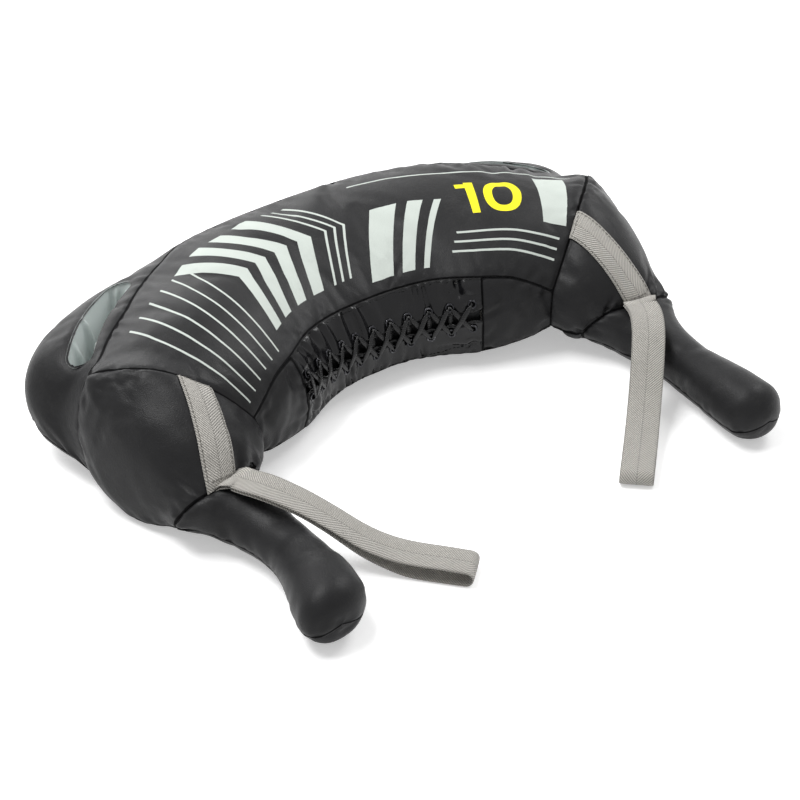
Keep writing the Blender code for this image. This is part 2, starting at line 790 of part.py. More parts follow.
def lace(bench):
    """The lace as one unbroken cord."""
    points = lace_route()
    curve = bpy.data.curves.new("lace", "CURVE")
    curve.dimensions = "3D"
    line = curve.splines.new("POLY")
    line.points.add(len(points) - 1)
    for place, point in zip(line.points, points):
        place.co = (*point, 1.0)
    curve.bevel_depth = LACE_RADIUS
    curve.bevel_resolution = 2
    curve.use_fill_caps = True
    piece = bpy.data.objects.new("lace", curve)
    curve.materials.append(finish("lace_finish", *GLOSS))
    piece.parent = bench.frame
    bench.parts.objects.link(piece)


def inner_sides(bench):
    """Plain wall panels on each side of the laced opening."""
    start, end = PLACKET_END_SHARE + end_trim(), 1.0 - end_trim()
    for hand, word in SIDES.items():
        first, last = (start, end) if hand > 0 else (-end, -start)
        form = grid_form(body_rows("inner", first, last, INNER_STEPS, SIDE_STEPS - 2))
        thicken(bench.add(word + "_inner_side_panel", form, LEATHER), SKIN)


# Yokes, grips and webbing, made for the side at +X and mirrored

def ring_point(angle):
    """Point on the leaning ring seam."""
    width = Vector((math.cos(RING_YAW), math.sin(RING_YAW), 0)) * RING_HALF_WIDTH
    height = Vector((0, -math.sin(RING_LEAN), math.cos(RING_LEAN))) * RING_HALF_HEIGHT
    centre = Vector((RING_X, RING_Y, RING_HEIGHT))
    return centre + width * math.cos(angle) + height * math.sin(angle)


def yoke_point(side, share, along):
    """Point on the yoke, between the end of the body and the ring seam."""
    start_angle, end_angle = RING_ANGLES[side]
    start = side_point(side, 1.0, share)
    end = ring_point(start_angle + (end_angle - start_angle) * share)
    middle = (low_inner(1.0) + top_outer(1.0) + low_outer(1.0) + top_inner(1.0)) / 4
    outward = (start - middle).normalized()
    low, high = YOKE_CROWN_SHARES[side]
    swell = YOKE_CROWN * (low + (high - low) * share)
    point = start.lerp(end, along) + outward * swell * 4 * along * (1 - along)
    return above_floor(point)


def yoke_rows(sides, low, high, steps):
    """Rows of points over a yoke piece that covers several sides of the section."""
    rows = []
    for along in spread(low, high, YOKE_STEPS):
        row = []
        for side in sides:
            begin = trimmed(side, 1.0)[0] if side == sides[0] else 0.0
            end = trimmed(side, 1.0)[1] if side == sides[-1] else 1.0
            points = [yoke_point(side, share, along) for share in spread(begin, end, steps[side])]
            row += points if side == sides[0] else points[1:]
        rows.append(row)
    return rows


def yoke_trim():
    """Share of the yoke length that its end clearances take."""
    return SEAM_CLEARANCE / (yoke_point("top", 1.0, 1.0) - top_outer(1.0)).length


def mirror_rows(rows, hand):
    """Rows for one side of the bag."""
    return [[Vector((hand * point.x, point.y, point.z)) for point in row] for row in rows]


def yokes(bench):
    """Upper and lower yoke pieces."""
    steps = YOKE_SIDE_STEPS
    low, high = yoke_trim(), 1.0 - yoke_trim()
    upper = yoke_rows(("inner", "top", "outer"), low, high, steps)
    lower = yoke_rows(("bottom",), low, high, steps)
    for hand, word in SIDES.items():
        for rows, name in ((upper, "_yoke_upper"), (lower, "_yoke_lower")):
            form = grid_form(mirror_rows(rows, hand), flip=hand < 0)
            thicken(bench.add(word + name, form, LEATHER), SKIN)


def grip_station(share):
    """Distance along the grip and radius factor; the last part rounds over the tip."""
    straight = GRIP_LENGTH - GRIP_CAP
    if share <= GRIP_CAP_START_SHARE:
        return straight * share / GRIP_CAP_START_SHARE, 1.0
    turn = (share - GRIP_CAP_START_SHARE) / (1.0 - GRIP_CAP_START_SHARE) * math.pi / 2
    return straight + GRIP_CAP * math.sin(turn), max(math.cos(turn), GRIP_TIP_SHARE)


def grip_point(hand, angle, share, inset=0.0):
    """Point on the sleeve of a grip, drawn in by an inset."""
    distance, factor = grip_station(share)
    part = distance / GRIP_LENGTH
    ring, neck, bulb = follow(GRIP_BLEND_SHARES, part)
    half_width = ring * RING_HALF_WIDTH + neck * NECK_RADIUS + bulb * BULB_RADIUS
    half_height = ring * RING_HALF_HEIGHT + neck * NECK_RADIUS + bulb * BULB_RADIUS
    height = ring * RING_HEIGHT + neck * NECK_HEIGHT + bulb * (BULB_RADIUS + FLOOR_CLEARANCE)
    x = ring * RING_X + (1 - ring) * GRIP_HALF_SPAN
    x -= GRIP_BOW[hand] * follow(GRIP_BOW_SHARES, part)[0]
    centre = Vector((x, RING_Y - distance, height))
    yaw, lean = RING_YAW * ring, RING_LEAN * ring
    across = Vector((math.cos(yaw), math.sin(yaw), 0)) * max(half_width * factor - inset, inset)
    up = Vector((0, -math.sin(lean), math.cos(lean))) * max(half_height * factor - inset, inset)
    point = centre + across * math.cos(angle) + up * math.sin(angle)
    point.z = max(point.z, FLOOR_CLEARANCE + inset)
    return Vector((hand * point.x, point.y, point.z))


def grip_shares(first, last):
    """Stations along a grip, closer together over the tip."""
    body = spread(first, GRIP_CAP_START_SHARE, GRIP_STEPS)
    return body + spread(GRIP_CAP_START_SHARE, last, GRIP_CAP_STEPS)[1:]


def hinge_place(hand):
    """Foot of the upright axis that a grip flexes about, at the outer end of its ring seam."""
    point = ring_point(0.0)
    return Vector((hand * (point.x + SKIN), point.y, 0))


def grips(bench):
    """Sleeve halves and the wadding core of each grip."""
    low, high = GRIP_SEAM_ANGLE, math.pi - GRIP_SEAM_ANGLE
    turn_trim = SEAM_CLEARANCE / NECK_RADIUS
    first = SEAM_CLEARANCE / GRIP_LENGTH * 2
    for hand, word in SIDES.items():
        hinge = hinge_place(hand)
        over = spread(high - turn_trim, low + turn_trim, GRIP_UPPER_STEPS)
        under = spread(low - turn_trim, high - 2 * math.pi + turn_trim, GRIP_LOWER_STEPS)
        halves = (("_grip_upper", over), ("_grip_lower", under))
        for name, angles in halves:
            rows = [[grip_point(hand, angle, share) for angle in angles]
                    for share in grip_shares(first, 1.0)]
            form = grid_form(rows, flip=hand < 0)
            thicken(bench.add(word + name, form, LEATHER, origin=hinge), SKIN)
        rings = [[grip_point(hand, angle, share, inset=SKIN + GRIP_CORE_INSET)
                  for angle in spread(0, 2 * math.pi, GRIP_CORE_STEPS)[:-1]]
                 for share in grip_shares(first, GRIP_CORE_END_SHARE)]
        bench.add(word + "_grip_core", solid_form(rings), FOAM, origin=hinge)


def yoke_cores(bench):
    """Wadding that fills each yoke between the body filling and the grip."""
    middle = (low_inner(1.0) + top_outer(1.0) + low_outer(1.0) + top_inner(1.0)) / 4
    ring_middle = Vector((RING_X, RING_Y, RING_HEIGHT))
    inset = SKIN + YOKE_CORE_INSET
    rings = []
    for along in spread(YOKE_CORE_START_SHARE, YOKE_CORE_END_SHARE, YOKE_STEPS):
        centre = middle.lerp(ring_middle, along)
        ring = []
        for side in ("inner", "top", "outer", "bottom"):
            for share in spread(0.0, 1.0, CORE_SIDE_STEPS)[:-1]:
                point = yoke_point(side, share, along)
                inward = centre - point
                ring.append(point + inward.normalized() * inset * 2)
        rings.append(ring)
    for hand, word in SIDES.items():
        bench.add(word + "_yoke_core", solid_form(mirror_rows(rings, hand)), FOAM)


def sewn_webbing(bench):
    """Flat webbing stitched down each yoke, from the top panel to the ring seam."""
    half = WEBBING_WIDTH / 2
    rows = []
    for along in spread(yoke_trim(), WEBBING_ROW_SHARE, WEBBING_ROWS):
        centre = yoke_point("top", WEBBING_TOP_SHARE, along)
        reference = yoke_point("top", WEBBING_TOP_SHARE + STATION_STEP_SHARE, along)
        per_share = (reference - centre).length / STATION_STEP_SHARE
        row = []
        for part in spread(-half, half, WEBBING_COLUMNS):
            share = WEBBING_TOP_SHARE + part / per_share
            point = yoke_point("top", share, along)
            step = STATION_STEP_SHARE
            across = yoke_point("top", share + step, along) - yoke_point("top", share - step, along)
            down = yoke_point("top", share, along + step) - yoke_point("top", share, along - step)
            row.append(point + down.cross(across).normalized() * TOUCH_CLEARANCE)
        rows.append(row)
    for hand, word in SIDES.items():
        form = grid_form(mirror_rows(rows, hand), flip=hand < 0)
        thicken(bench.add(word + "_sewn_webbing", form, WEBBING), WEBBING_THICKNESS, offset=1.0)


def loop_plan(hand, distance):
    """Place and heading in plan at a distance along a loop, which swings round from the ring seam."""
    heading = Vector((math.cos(LOOP_BEARING), math.sin(LOOP_BEARING), 0))
    aside = Vector((heading.y, -heading.x, 0))
    fade = math.exp(-distance / LOOP_SWERVE_LENGTH)
    start = LOOP_ROOT + LOOP_ROOT_SHIFT[hand]
    place = Vector((start.x, start.y, 0)) + heading * distance + aside * LOOP_SWERVE * fade
    return place, (heading - aside * fade * LOOP_SWERVE / LOOP_SWERVE_LENGTH).normalized()


def loop_profile(hand):
    """Middle line of a loop, as distance from its root and height: out on top, back below."""
    shares = spread(0.0, LOOP_FOLD_SHARE, LOOP_STEPS)
    top = [(share, follow(LOOP_TOP_SHARES[hand], share)[0]) for share in shares]
    low = [(share, follow(LOOP_LOW_SHARES[hand], share)[0]) for share in reversed(shares)]
    end_top, end_low = top[-1][1] * LOOP_HEIGHT, low[0][1] * LOOP_HEIGHT
    radius = (end_top - end_low) / 2
    start = LOOP_FOLD_SHARE * LOOP_LENGTH[hand]
    fold = [(start + math.sin(turn) * radius, end_low + radius + math.cos(turn) * radius)
            for turn in spread(0, math.pi, LOOP_FOLD_STEPS)[1:-1]]
    outward = [(share * LOOP_LENGTH[hand], level * LOOP_HEIGHT) for share, level in top]
    inward = [(share * LOOP_LENGTH[hand], level * LOOP_HEIGHT) for share, level in low]
    return outward + fold + inward


def loops(bench):
    """Free webbing loops, each turning on the fold at its root."""
    for hand, word in SIDES.items():
        rows = []
        for distance, height in loop_profile(hand):
            centre, heading = loop_plan(hand, distance)
            across = Vector((-heading.y, heading.x, 0)) * WEBBING_WIDTH / 2
            centre.z = height
            rows.append([centre - across, centre + across])
        form = grid_form(mirror_rows(rows, hand), flip=hand < 0)
        root, heading = loop_plan(hand, 0)
        origin = Vector((hand * root.x, root.y, LOOP_HEIGHT))
        piece = bench.add(word + "_webbing_loop", form, WEBBING, origin=origin)
        thicken(piece, WEBBING_THICKNESS, offset=0.0)


# Fillings

def core_ring(station, inset):
    """Closed section of the filling, drawn in evenly from the skins."""
    points, insets = [], []
    for side in ("inner", "top", "core_outer", "core_bottom"):
        points += [side_point(side, station, share)
                   for share in spread(0.0, 1.0, CORE_SIDE_STEPS)[:-1]]
        insets += [inset + (TONGUE_DEPTH + TONGUE_CLOTH if side == "inner" else 0)] * CORE_SIDE_STEPS
    outward = radial(station)
    middle = sum(points, Vector((0, 0, 0))) / len(points)
    flat = [Vector(((point - middle).dot(outward), point.z - middle.z)) for point in points]
    ring = []
    count = len(points)
    for index, point in enumerate(points):
        before = (flat[index] - flat[index - 1]).normalized()
        after = (flat[(index + 1) % count] - flat[index]).normalized()
        run, rise = (before + after).normalized()
        ring.append(point + (outward * rise - Vector((0, 0, run))) * insets[index])
    return ring


def wadding(bench):
    """Sleeve of wadding between the skins and the weight bags, open at both ends."""
    reach = FILLER_END_SHARE
    inset = SKIN + WADDING_INSET
    rows = [core_ring(station, inset) for station in spread(-reach, reach, CORE_STEPS)]
    form = grid_form(rows, ring=True)
    thicken(bench.add("wadding_sleeve", form, FOAM), WADDING_THICKNESS)


def weight_bags(bench):
    """Canvas bags of iron shot, end to end inside the wadding."""
    inset = SKIN + FILLER_INSET
    width = 2 * FILLER_END_SHARE / FILLER_COUNT
    step = (top_inner(STATION_STEP_SHARE) - top_inner(0.0)).length
    gap = FILLER_GAP / step * STATION_STEP_SHARE
    for index in range(FILLER_COUNT):
        start = -FILLER_END_SHARE + width * index + gap
        end = start + width - 2 * gap
        rings = [core_ring(station, inset) for station in spread(start, end, WEIGHT_BAG_STEPS)]
        bench.add(f"weight_bag_{index + 1}", solid_form(rings), CANVAS)


def seat_on_origin(bench):
    """Move the frame so that the origin is under the middle of the bag, on the floor."""
    bpy.context.view_layer.update()
    graph = bpy.context.evaluated_depsgraph_get()
    corners = []
    for piece in bench.parts.objects:
        if piece.type in {"MESH", "CURVE"}:
            seen = piece.evaluated_get(graph)
            mesh = seen.to_mesh()
            corners += [seen.matrix_world @ vertex.co for vertex in mesh.vertices]
            seen.to_mesh_clear()
    low = Vector([min(corner[axis] for corner in corners) for axis in range(3)])
    high = Vector([max(corner[axis] for corner in corners) for axis in range(3)])
    middle = (low + high) / 2
    bench.frame.location = (-middle.x, -middle.y, -low.z)
    bpy.context.view_layer.update()
    print("size", high - low, "frame", bench.frame.location)
    return bench.frame.location


def main():
    """Build every piece of the bag."""
    clear_scene()
    bench = Bench()
    body_skins(bench)
    slot_linings(bench)
    handle_cores(bench)
    placket_flaps(bench)
    lacing_tongue(bench)
    eyelets(bench)
    lace(bench)
    inner_sides(bench)
    yokes(bench)
    sewn_webbing(bench)
    grips(bench)
    yoke_cores(bench)
    loops(bench)
    wadding(bench)
    weight_bags(bench)
    seat_on_origin(bench)


if __name__ == "__main__":
    main()
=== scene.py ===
"""Looks of the weighted crescent training bag: stuffed cover, print, lacing, webbing and studio.

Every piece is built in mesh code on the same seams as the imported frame, in metres and +Z up.
The cover is cut as flat grids between the seams, settled by a short cloth simulation, then
puckered along its seams.
"""
import logging
import math
from dataclasses import asdict, dataclass, field
from enum import Enum
from functools import partial
from typing import Callable

import bpy
import numpy as np
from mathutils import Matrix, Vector
from mathutils.bvhtree import BVHTree


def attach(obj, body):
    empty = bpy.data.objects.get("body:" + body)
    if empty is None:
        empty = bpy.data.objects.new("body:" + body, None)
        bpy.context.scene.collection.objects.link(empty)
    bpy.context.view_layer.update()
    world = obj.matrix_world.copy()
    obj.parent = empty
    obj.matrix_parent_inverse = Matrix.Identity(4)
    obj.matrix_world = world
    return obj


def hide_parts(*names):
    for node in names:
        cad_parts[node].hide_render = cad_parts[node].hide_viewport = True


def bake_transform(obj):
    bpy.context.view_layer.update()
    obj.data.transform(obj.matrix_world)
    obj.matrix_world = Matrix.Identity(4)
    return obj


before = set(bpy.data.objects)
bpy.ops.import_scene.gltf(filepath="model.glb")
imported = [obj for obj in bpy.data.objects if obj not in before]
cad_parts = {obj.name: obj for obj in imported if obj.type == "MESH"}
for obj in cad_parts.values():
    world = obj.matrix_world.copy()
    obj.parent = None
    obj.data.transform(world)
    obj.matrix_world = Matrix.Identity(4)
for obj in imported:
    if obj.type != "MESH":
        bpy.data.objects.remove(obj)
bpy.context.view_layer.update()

Array = np.ndarray
Object = bpy.types.Object
Socket = bpy.types.NodeSocket
Grid = Callable[[int, int], Array]
LOG = logging.getLogger("training_bag")
SEAM_REACH = 0.006
FLOOR_GAP = 0.0003
CORNERS = ("low_inner", "top_outer", "low_outer", "top_inner")
SLOTTED = ("outer_side_panel", "bottom_panel")

# Stations along each half of the crescent, and the seams there as shares of the sizes in BagForm
TOP_OUTER_SHARES = (
    (0.00, 0.00, 1.000, 0.96), (0.20, 0.20, 0.980, 0.97), (0.40, 0.41, 0.890, 1.01),
    (0.60, 0.62, 0.710, 1.04), (0.78, 0.79, 0.450, 1.04), (0.90, 0.90, 0.235, 1.03),
    (1.00, 1.00, 0.000, 1.00))
TOP_INNER_SHARES = (
    (0.00, 0.00, 1.00, 1.00), (0.20, 0.21, 0.96, 1.01), (0.40, 0.42, 0.77, 1.06),
    (0.60, 0.61, 0.46, 1.09), (0.78, 0.78, 0.24, 1.06), (0.90, 0.89, 0.10, 0.96),
    (1.00, 1.00, 0.00, 0.82))
LOW_OUTER_SHARES = (
    (0.00, 0.00, 1.050, 0.30), (0.20, 0.20, 1.050, 0.33), (0.40, 0.40, 1.010, 0.48),
    (0.60, 0.64, 0.900, 0.83), (0.78, 0.91, 0.680, 1.00), (0.90, 1.05, 0.340, 0.80),
    (1.00, 0.95, -0.260, 0.38))
LOW_INNER_SHARES = (
    (0.00, 1.25, 1.0), (0.40, 1.10, 1.0), (0.60, 0.75, 1.0), (0.78, 0.35, 1.1), (0.90, 0.10, 1.4),
    (1.00, 0.00, 2.0))
CROWN_SHARES = (
    (0.00, 0.75, 1.00, 0.00, 1.00, 0.00), (0.20, 0.76, 1.00, 0.00, 1.00, 0.00),
    (0.40, 0.80, 1.00, 0.25, 1.00, 0.25), (0.60, 0.85, 1.00, 0.75, 1.00, 0.75),
    (0.78, 0.92, 0.90, 1.00, 1.00, 1.00), (0.90, 0.97, 0.80, 0.98, 0.80, 1.10),
    (1.00, 1.00, 0.60, 0.18, 0.45, 1.35))
LEFT_PULL_SHARES = (
    (-1.00, 0.00, 0.00), (-0.90, 0.30, 0.15), (-0.78, 0.90, 0.70), (-0.70, 1.00, 0.80),
    (-0.60, 1.00, 0.90), (-0.50, 0.70, 0.80), (-0.40, 0.15, 0.15), (-0.30, 0.00, 0.00))
# Shares of the length of a grip or loop, and its section, bow or height there
GRIP_BLEND_SHARES = (
    (0.00, 1.00, 0.00, 0.00), (0.12, 0.62, 0.38, 0.00), (0.24, 0.24, 0.76, 0.00),
    (0.36, 0.04, 0.94, 0.02), (0.48, 0.00, 0.92, 0.08), (0.62, 0.00, 0.58, 0.42),
    (0.78, 0.00, 0.08, 0.92), (1.00, 0.00, 0.00, 1.00))
GRIP_BOW_SHARES = (
    (0.00, 0.00), (0.16, 0.55), (0.33, 0.93), (0.50, 1.00), (0.67, 0.80), (0.84, 0.42), (1.00, 0.12))
LOOP_TOP_SHARES = {
    1: ((0.00, 0.98), (0.10, 1.00), (0.22, 0.94), (0.34, 0.76), (0.50, 0.46), (0.68, 0.30),
        (0.86, 0.24), (0.95, 0.23)),
    -1: ((0.00, 0.98), (0.12, 1.00), (0.26, 0.88), (0.38, 0.69), (0.52, 0.43), (0.62, 0.31),
         (0.72, 0.26), (0.86, 0.25), (0.95, 0.24))}
LOOP_LOW_SHARES = {
    1: ((0.00, 0.94), (0.10, 0.96), (0.22, 0.89), (0.34, 0.68), (0.50, 0.28), (0.64, 0.09),
        (0.80, 0.03), (0.95, 0.03)),
    -1: ((0.00, 0.94), (0.12, 0.95), (0.26, 0.83), (0.38, 0.62), (0.52, 0.31), (0.62, 0.15),
         (0.72, 0.05), (0.86, 0.03), (0.95, 0.03))}


class Hand(Enum):
    """The two ends of the bag, with the sign of X there."""

    LEFT = -1
    RIGHT = 1

    @property
    def word(self) -> str:
        """The word that node names start with."""
        return self.name.lower()


class Side(Enum):
    """The four sides of the body section, with the seams that each lies between."""

    TOP = ("top_inner", "top_outer")
    OUTER = ("top_outer", "low_outer")
    BOTTOM = ("low_outer", "low_inner")
    INNER = ("low_inner", "top_inner")


# Shape of the bag

def follow(rows: tuple, stations: Array, odd: int = 0) -> Array:
    """Smooth values of a table of shares.

    Args:
        rows: the table, its first column the station.
        stations: signed stations, of any shape.
        odd: how many of the first columns change sign with the station.

    Returns:
        The values, with the table's columns as the last axis.
    """
    table = np.array(rows, float)
    if table[0, 0] == 0:
        mirrored = table[:0:-1].copy()
        mirrored[:, 0] *= -1
        mirrored[:, 1:1 + odd] *= -1
        table = np.concatenate([mirrored, table])
    keys, values = table[:, 0], table[:, 1:]
    stations = np.asarray(stations, float)
    index = np.clip(np.searchsorted(keys, stations) - 1, 0, len(keys) - 2)
    before, after = np.maximum(index - 1, 0), np.minimum(index + 2, len(keys) - 1)
    span = (keys[index + 1] - keys[index])[..., None]
    u = (stations - keys[index])[..., None] / span
    left, right = values[index], values[index + 1]
    slope_left = (right - values[before]) / (keys[index + 1] - keys[before])[..., None] * span
    slope_right = (values[after] - left) / (keys[after] - keys[index])[..., None] * span
    return ((2 * u**3 - 3 * u**2 + 1) * left + (u**3 - 2 * u**2 + u) * slope_left
            + (3 * u**2 - 2 * u**3) * right + (u**3 - u**2) * slope_right)


def unit(vectors: Array) -> Array:
    """Vectors of length one along the last axis."""
    return vectors / np.maximum(np.linalg.norm(vectors, axis=-1, keepdims=True), 1e-12)


def smooth_step(values: Array) -> Array:
    """Smooth rise from 0 to 1."""
    t = np.clip(values, 0.0, 1.0)
    return t * t * (3 - 2 * t)


def resample(values: Array, rows: int, columns: int) -> Array:
    """Smooth enlargement of a grid of values.

    Args:
        values: the grid, rows by columns by anything.
        rows: rows of the new grid.
        columns: columns of the new grid.

    Returns:
        The values on the new grid, by cubic interpolation.
    """
    for axis, count in ((0, rows), (1, columns)):
        grid = np.moveaxis(values, axis, 0)
        place = np.linspace(0, len(grid) - 1, count)
        low = np.clip(np.floor(place).astype(int), 0, len(grid) - 2)
        t = (place - low).reshape((-1,) + (1,) * (grid.ndim - 1))
        last = len(grid) - 1
        a, b = grid[np.maximum(low - 1, 0)], grid[low]
        c, d = grid[low + 1], grid[np.minimum(low + 2, last)]
        mixed = b + 0.5 * t * (c - a + t * (2 * a - 5 * b + 4 * c - d + t * (3 * (b - c) + d - a)))
        values = np.moveaxis(mixed, 0, axis)
    return values


def blurred(values: Array, passes: int) -> Array:
    """Grid of values smoothed by repeated averaging with its neighbours.

    Args:
        values: grid of values.
        passes: how often they are averaged.

    Returns:
        The smoothed grid.
    """
    for _ in range(passes):
        for axis in (0, 1):
            grid = np.moveaxis(values, axis, 0)
            padded = np.concatenate([grid[:1], grid, grid[-1:]])
            grid = (padded[:-2] + 2 * padded[1:-1] + padded[2:]) / 4
            values = np.moveaxis(grid, 0, axis)
    return values


def run_length(points: Array) -> Array:
    """Distance of each point of a line from its start, along the line."""
    return np.concatenate([[0], np.cumsum(np.linalg.norm(np.diff(points, axis=0), axis=-1))])


def at(wanted: Array, length: Array, values: Array) -> Array:
    """Values of a line at the wanted distances along it."""
    return np.stack([np.interp(wanted, length, column) for column in values.T], axis=-1)


def nearest(points: Array, line: Array) -> tuple[Array, Array]:
    """Nearest point of a line to each of some points.

    Args:
        points: the points, a grid or a list of any shape.
        line: the points of the line.

    Returns:
        Number of the nearest point, and how far away it is.
    """
    flat = points.reshape(-1, points.shape[-1])
    found = []
    for rows in np.array_split(flat, max(1, len(flat) // 2000)):
        away = np.linalg.norm(rows[:, None] - line, axis=-1)
        found.append((away.argmin(axis=-1), away.min(axis=-1)))
    index, away = (np.concatenate(part).reshape(points.shape[:-1]) for part in zip(*found))
    return index, away


def grid_faces(rows: int, columns: int, closed_down: bool = False,
               closed_across: bool = False) -> Array:
    """Faces of a grid of points.

    Args:
        rows: rows of the grid.
        columns: columns of the grid.
        closed_down: whether the last row joins the first.
        closed_across: whether the last column joins the first.

    Returns:
        Four point numbers for each face, row by row.
    """
    down = np.arange(rows if closed_down else rows - 1)[:, None]
    across = np.arange(columns if closed_across else columns - 1)
    below, beside = (down + 1) % rows * columns, (across + 1) % columns
    down = down * columns
    return np.stack([down + across, below + across, below + beside, down + beside],
                    axis=-1).reshape(-1, 4)


@dataclass(frozen=True)
class BagForm:
    """Sizes of the bag and the places of its seams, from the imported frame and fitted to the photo."""

    outer_half_span: float = 0.285
    outer_rise: float = 0.159
    outer_corner: float = 0.069
    outer_height: float = 0.112
    inner_half_span: float = 0.176
    inner_rise: float = 0.077
    inner_corner: float = -0.022
    inner_height: float = 0.088
    inner_lean: float = 0.0185
    low_inner_height: float = 0.016
    low_outer_half_span: float = 0.308
    handle_seam_height: float = 0.046
    top_crown: float = 0.030
    outer_crown: float = 0.012
    handle_crown: float = 0.043
    handle_sag: float = 0.022
    bottom_crown: float = 0.045
    bottom_roll: float = 0.024
    inner_crown: float = 0.010
    floor_blend: float = 0.006
    left_pull: float = 0.0100
    left_drop: float = 0.0012
    right_handle_share: float = 0.82
    left_handle_share: float = 1.02
    left_sag_share: float = 0.75
    slot_offset: dict = field(default_factory=lambda: {-1: (0.0150, 0.0195), 1: (0.0240, 0.0240)})
    slot_width: dict = field(default_factory=lambda: {-1: 0.0240, 1: 0.0132})
    slot_reach: dict = field(default_factory=lambda: {-1: (0.62, 0.912), 1: (0.63, 0.895)})
    placket_end: float = 0.62
    lacing_height: float = 0.048
    lacing_rise: float = 0.011
    row_gap: float = 0.026
    flap_gap: float = 0.008
    eyelet_spread: float = 0.57
    ring_centre: tuple = (0.240, -0.058, 0.034)
    ring_half_width: float = 0.0435
    ring_half_height: float = 0.032
    ring_yaw: float = math.radians(-10.0)
    ring_lean: float = math.radians(30.0)
    yoke_crown: float = 0.020
    grip_length: float = 0.206
    grip_half_span: float = 0.244
    grip_cap: float = 0.026
    neck_radius: float = 0.0245
    neck_height: float = 0.028
    bulb_radius: float = 0.0312
    left_grip_slack: float = 0.0045
    tip_blunt: float = 0.75
    tip_spread: float = 1.13
    floor_clearance: float = 0.0006
    bend_length: float = 0.075
    grip_bow: dict = field(default_factory=lambda: {-1: 0.023, 1: 0.0})
    seam_angle: float = math.radians(-20.0)
    cap_start: float = 0.78
    webbing_width: float = 0.032
    webbing_place: float = 0.43
    loop_root: tuple = (0.2466, -0.0890, 0.0695)
    loop_swerve: float = 0.013
    loop_swerve_length: float = 0.025
    loop_bearing: float = math.radians(227.5)
    loop_fold: float = 0.95
    seat: tuple = (0.0, 0.010023, 0.0)
    step: float = 0.01
    roll_peak: float = 6.75

    def rail(self, name: str, stations: Array) -> Array:
        """Points of one seam along the crescent.

        Args:
            name: top_outer, top_inner, low_outer or low_inner.
            stations: signed stations.

        Returns:
            One point for each station, before the bag is seated.
        """
        if name == "low_inner":
            lean, height = np.moveaxis(follow(LOW_INNER_SHARES, stations), -1, 0)
            point = self.rail("top_inner", stations)
            point = point - self.radial(stations) * (lean * self.inner_lean)[..., None]
            point[..., 2] = height * self.low_inner_height
            return point
        table, sizes, corner = {
            "top_outer": (TOP_OUTER_SHARES, (self.outer_half_span, self.outer_rise, self.outer_height),
                          self.outer_corner),
            "top_inner": (TOP_INNER_SHARES, (self.inner_half_span, self.inner_rise, self.inner_height),
                          self.inner_corner),
            "low_outer": (LOW_OUTER_SHARES, (self.low_outer_half_span, self.outer_rise,
                                             self.handle_seam_height), self.outer_corner),
        }[name]
        point = follow(table, stations, odd=1) * np.array(sizes)
        point[..., 1] += corner
        if name == "top_outer":
            first, last = LEFT_PULL_SHARES[0][0], LEFT_PULL_SHARES[-1][0]
            pull, drop = np.moveaxis(follow(LEFT_PULL_SHARES, np.clip(stations, first, last)), -1, 0)
            inward = -point[..., :2] / np.linalg.norm(point[..., :2], axis=-1, keepdims=True)
            point[..., :2] += inward * (pull * self.left_pull)[..., None]
            point[..., 2] -= drop * self.left_drop
        return point

    def radial(self, stations: Array) -> Array:
        """Level directions across the crescent, outward.

        Args:
            stations: signed stations.

        Returns:
            One direction for each station.
        """
        across = self.rail("top_outer", stations) - self.rail("top_inner", stations)
        across[..., 2] = 0
        return unit(across)

    def middle(self, stations: Array) -> Array:
        """Middles of the section, before the bag is seated."""
        return sum(self.rail(name, stations) for name in CORNERS) / len(CORNERS)

    def above_floor(self, points: Array) -> Array:
        """Points pressed on to the floor plane with a short rounded lead into it.

        Args:
            points: the points, before the bag is seated.

        Returns:
            Points at or above the floor.
        """
        blend = self.floor_blend
        z = points[..., 2]
        eased = np.where(z < -blend, 0.0, np.where(z < blend, (z + blend) ** 2 / (blend * 4), z))
        return np.concatenate([points[..., :2], eased[..., None]], axis=-1)

    def side(self, side: Side, stations: Array, shares: Array) -> Array:
        """Grid of points on one swollen side of the body.

        Args:
            side: which side of the section.
            stations: signed stations, one for each row.
            shares: shares across, one for each column or one row of them for each station.

        Returns:
            Rows by columns by 3, in the frame.
        """
        start, end = (self.rail(name, stations) for name in side.value)
        ahead = sum(self.rail(name, stations + self.step) for name in ("top_inner", "top_outer"))
        behind = sum(self.rail(name, stations - self.step) for name in ("top_inner", "top_outer"))
        outward = unit(np.cross(ahead - behind, end - start))
        crowns = follow(CROWN_SHARES, stations)
        swell = {
            Side.TOP: crowns[:, 0] * self.top_crown,
            Side.INNER: crowns[:, 1] * self.inner_crown,
            Side.OUTER: self.outer_crown + crowns[:, 2] * (self.handle_crown - self.outer_crown),
            Side.BOTTOM: crowns[:, 3] * self.bottom_crown,
        }[side]
        if side is Side.OUTER:
            ease = (1 - self.right_handle_share) * smooth_step((stations - 0.2) / 0.3)
            swell = swell * (1 - ease * smooth_step((1.0 - stations) / 0.1))
            left = smooth_step((-stations - 0.45) / 0.25) * smooth_step((1.0 + stations) / 0.1)
            swell = swell * (1 + (self.left_handle_share - 1) * left)
        t = np.broadcast_to(shares, (len(stations), np.shape(shares)[-1]))[..., None]
        bulge = 4 * t * (1 - t)
        point = start[:, None] * (1 - t) + end[:, None] * t
        point = point + outward[:, None] * swell[:, None, None] * bulge
        if side is Side.BOTTOM:
            roll = (crowns[:, 4] * self.bottom_roll)[:, None, None]
            point = point + self.radial(stations)[:, None] * roll * self.roll_peak * t * (1 - t) ** 2
        elif side is Side.OUTER:
            held = 1 - (1 - self.left_sag_share) * smooth_step((-stations - 0.45) / 0.25)
            sag = (self.handle_sag * crowns[:, 2] * held)[:, None] * bulge[..., 0]
            point[..., 2] -= sag
        return self.above_floor(point) + np.array(self.seat)

